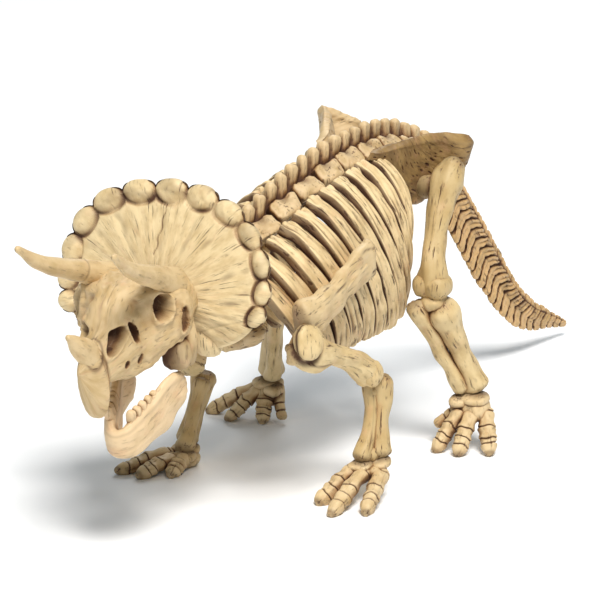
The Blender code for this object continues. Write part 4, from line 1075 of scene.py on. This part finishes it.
# Toes from the outer one to the inner one: x outwards, y and z of the root, then x and y of the tip.
FORE_TOES = {
    1: [(30.0, -16.4, 5.7, 34.4, -31.0), (26.6, -19.0, 5.9, 27.8, -35.8), (23.6, -18.6, 6.1, 20.8, -30.0)],
    -1: [(27.0, -23.4, 2.9, 33.4, -36.0), (24.6, -25.2, 2.5, 27.0, -36.2), (22.0, -24.6, 2.5, 21.0, -31.4)],
}
HIND_TOES = {
    1: [(32.0, 30.9, 9.0, 36.2, 25.6), (29.2, 28.7, 9.0, 29.8, 20.8), (26.4, 28.5, 9.0, 23.4, 20.8)],
    -1: [(31.0, 24.7, 7.4, 43.0, 18.6), (29.8, 22.9, 7.4, 35.0, 15.4), (28.0, 22.9, 7.4, 26.4, 18.0)],
}
INNER_TOE_REACH = {1: 8.0, -1: 5.6}
# Along a toe: place, lift and thickness at its waists and joints.
TOE_FORM = (
    (0.0, 0.0, 0.98), (0.10, 0.3, 0.96), (0.27, 0.5, 0.80), (0.44, 0.5, 1.0), (0.55, 0.4, 0.84),
    (0.65, 0.3, 1.0), (0.75, 0.15, 0.84), (0.83, 0.1, 0.93), (1.0, 0, 0.62),
)
TOE_JOINTS = np.array((0.12, 0.46, 0.66, 0.84))
INNER_TOE_FORM, INNER_TOE_JOINTS = ((0, 1.7, 1.7), (0.5, 1.4, 1.4), (1, 1.4, 1.4)), (3.2, 5.2)
# The core of a foot and its two plates: the place from the wrist or ankle, the halves, and a plate's tilt.
WRIST_CORE = (-0.6, -2.4, -4.6), (4.0, 3.8, 2.2), {"along": 30}
WRIST_PLATES = ((0, -1.2, -2.8), (3.5, 3.2, 1.35), 10), ((-2.2, -5.0, -3.2), (2.9, 2.6, 1.3), 14)
ANKLE_CORE = (0.4, -0.8, -4.6), (4.4, 3.6, 3.4), {"along": 36, "power": 2.4}
ANKLE_PLATES = ((0.6, -1.2, -1.9), (3.9, 3.5, 1.4), 8), ((-2.6, -3.2, -2.6), (2.6, 2.4, 1.4), 12)
foot_paint = bone_paint("foot_plastic", (0.72, 0.55, 0.315), 0.55, 0.25, pits=0.35)


def flat_soled(shell):
    """The shell pressed flat at the floor."""
    points = shell.points.copy()
    points[..., 2] = np.maximum(points[..., 2], 0)
    return shell._replace(points=points)


def toe(base, tip, thick, seed):
    """A digit that swells at its joints, with a dark groove at each and a pit in its blunt tip."""
    way = tip - base
    rows = [(*(base + way * t + (0, 0, lift)), thick * a, thick * a * 0.9) for t, lift, a in TOE_FORM]
    digit = shaft(rows, np.cross(way, (0, 0, 1)), along=150, around=44, power=2.2, domes=(0.6, 0.9))
    length = np.linalg.norm(way) + thick * 0.6
    digit = weathered(digit, seed, 0.16)
    wander = stacked(0.25 * waves(digit.grain, (6, 3, 3), seed + 2), 0, 0)
    places = length * (TOE_JOINTS + np.random.default_rng(seed).uniform(-0.03, 0.03, 4))
    digit = ringed(digit._replace(grain=digit.grain + wander), places, 0.42, 0.9)
    pit = bump_at(digit.grain[..., 0], length + 0.6, 0.7)
    return cracked(pushed(digit, -0.2 * pit, 0.6 * pit), seed, 0.15, 0.5)


def plate(centre, halves, tilt, seed):
    """A flat pebble of the wrist or ankle, with wash in the seams above and below it."""
    pebble = knob(centre, halves, turns=(tilt, 0, 0), power=2.8, along=28, around=44)
    seam = bump_at(np.abs(pebble.points[..., 2] - centre[2]), halves[2], 0.5)
    return weathered(pushed(pebble, 0, 0.7 * seam), seed, 0.18)


def foot(side, joint, core, plates, toes, thick, seed):
    """A core, two plates and three toes, all placed with x outwards."""
    joint, out = np.array(joint), np.array((side, 1, 1))
    at, halves, form = core
    shells = [knuckle(side, joint + at, halves, seed, 0.2, around=40, **form)]
    for k, (at, halves, tilt) in enumerate(plates):
        shells.append(plate((joint + at) * out, halves, tilt, seed + 2 + 2 * k + side))
    for k, (x, y, z, *tip) in enumerate(toes):
        shells.append(toe((x, y, z) * out, (*tip, TOE_TIP_Z) * out, thick, seed + 6 + 4 * k + side))
    return shells


for side, name in SIDES:
    shells = foot(side, WRIST[side], WRIST_CORE, WRIST_PLATES, FORE_TOES[side], FORE_TOE_HALF, 600)
    mould(f"forefoot_{name}", [flat_soled(shell) for shell in shells], foot_paint)

    shells = foot(side, ANKLE[side], ANKLE_CORE, ANKLE_PLATES, HIND_TOES[side], HIND_TOE_HALF, 630)
    x, y, z = ANKLE[side]
    root, tip = (x - 3.4, y - 2.0, z - 5.0), (x - INNER_TOE_REACH[side], y - 4.0, z - 9.0)
    inner = shaft(sided(side, spread(root, tip, INNER_TOE_FORM)), along=70, around=36)
    shells.append(weathered(ringed(inner, INNER_TOE_JOINTS, 0.35, 0.9), 660 + side))
    mould(f"hindfoot_{name}", [flat_soled(shell) for shell in shells], foot_paint)
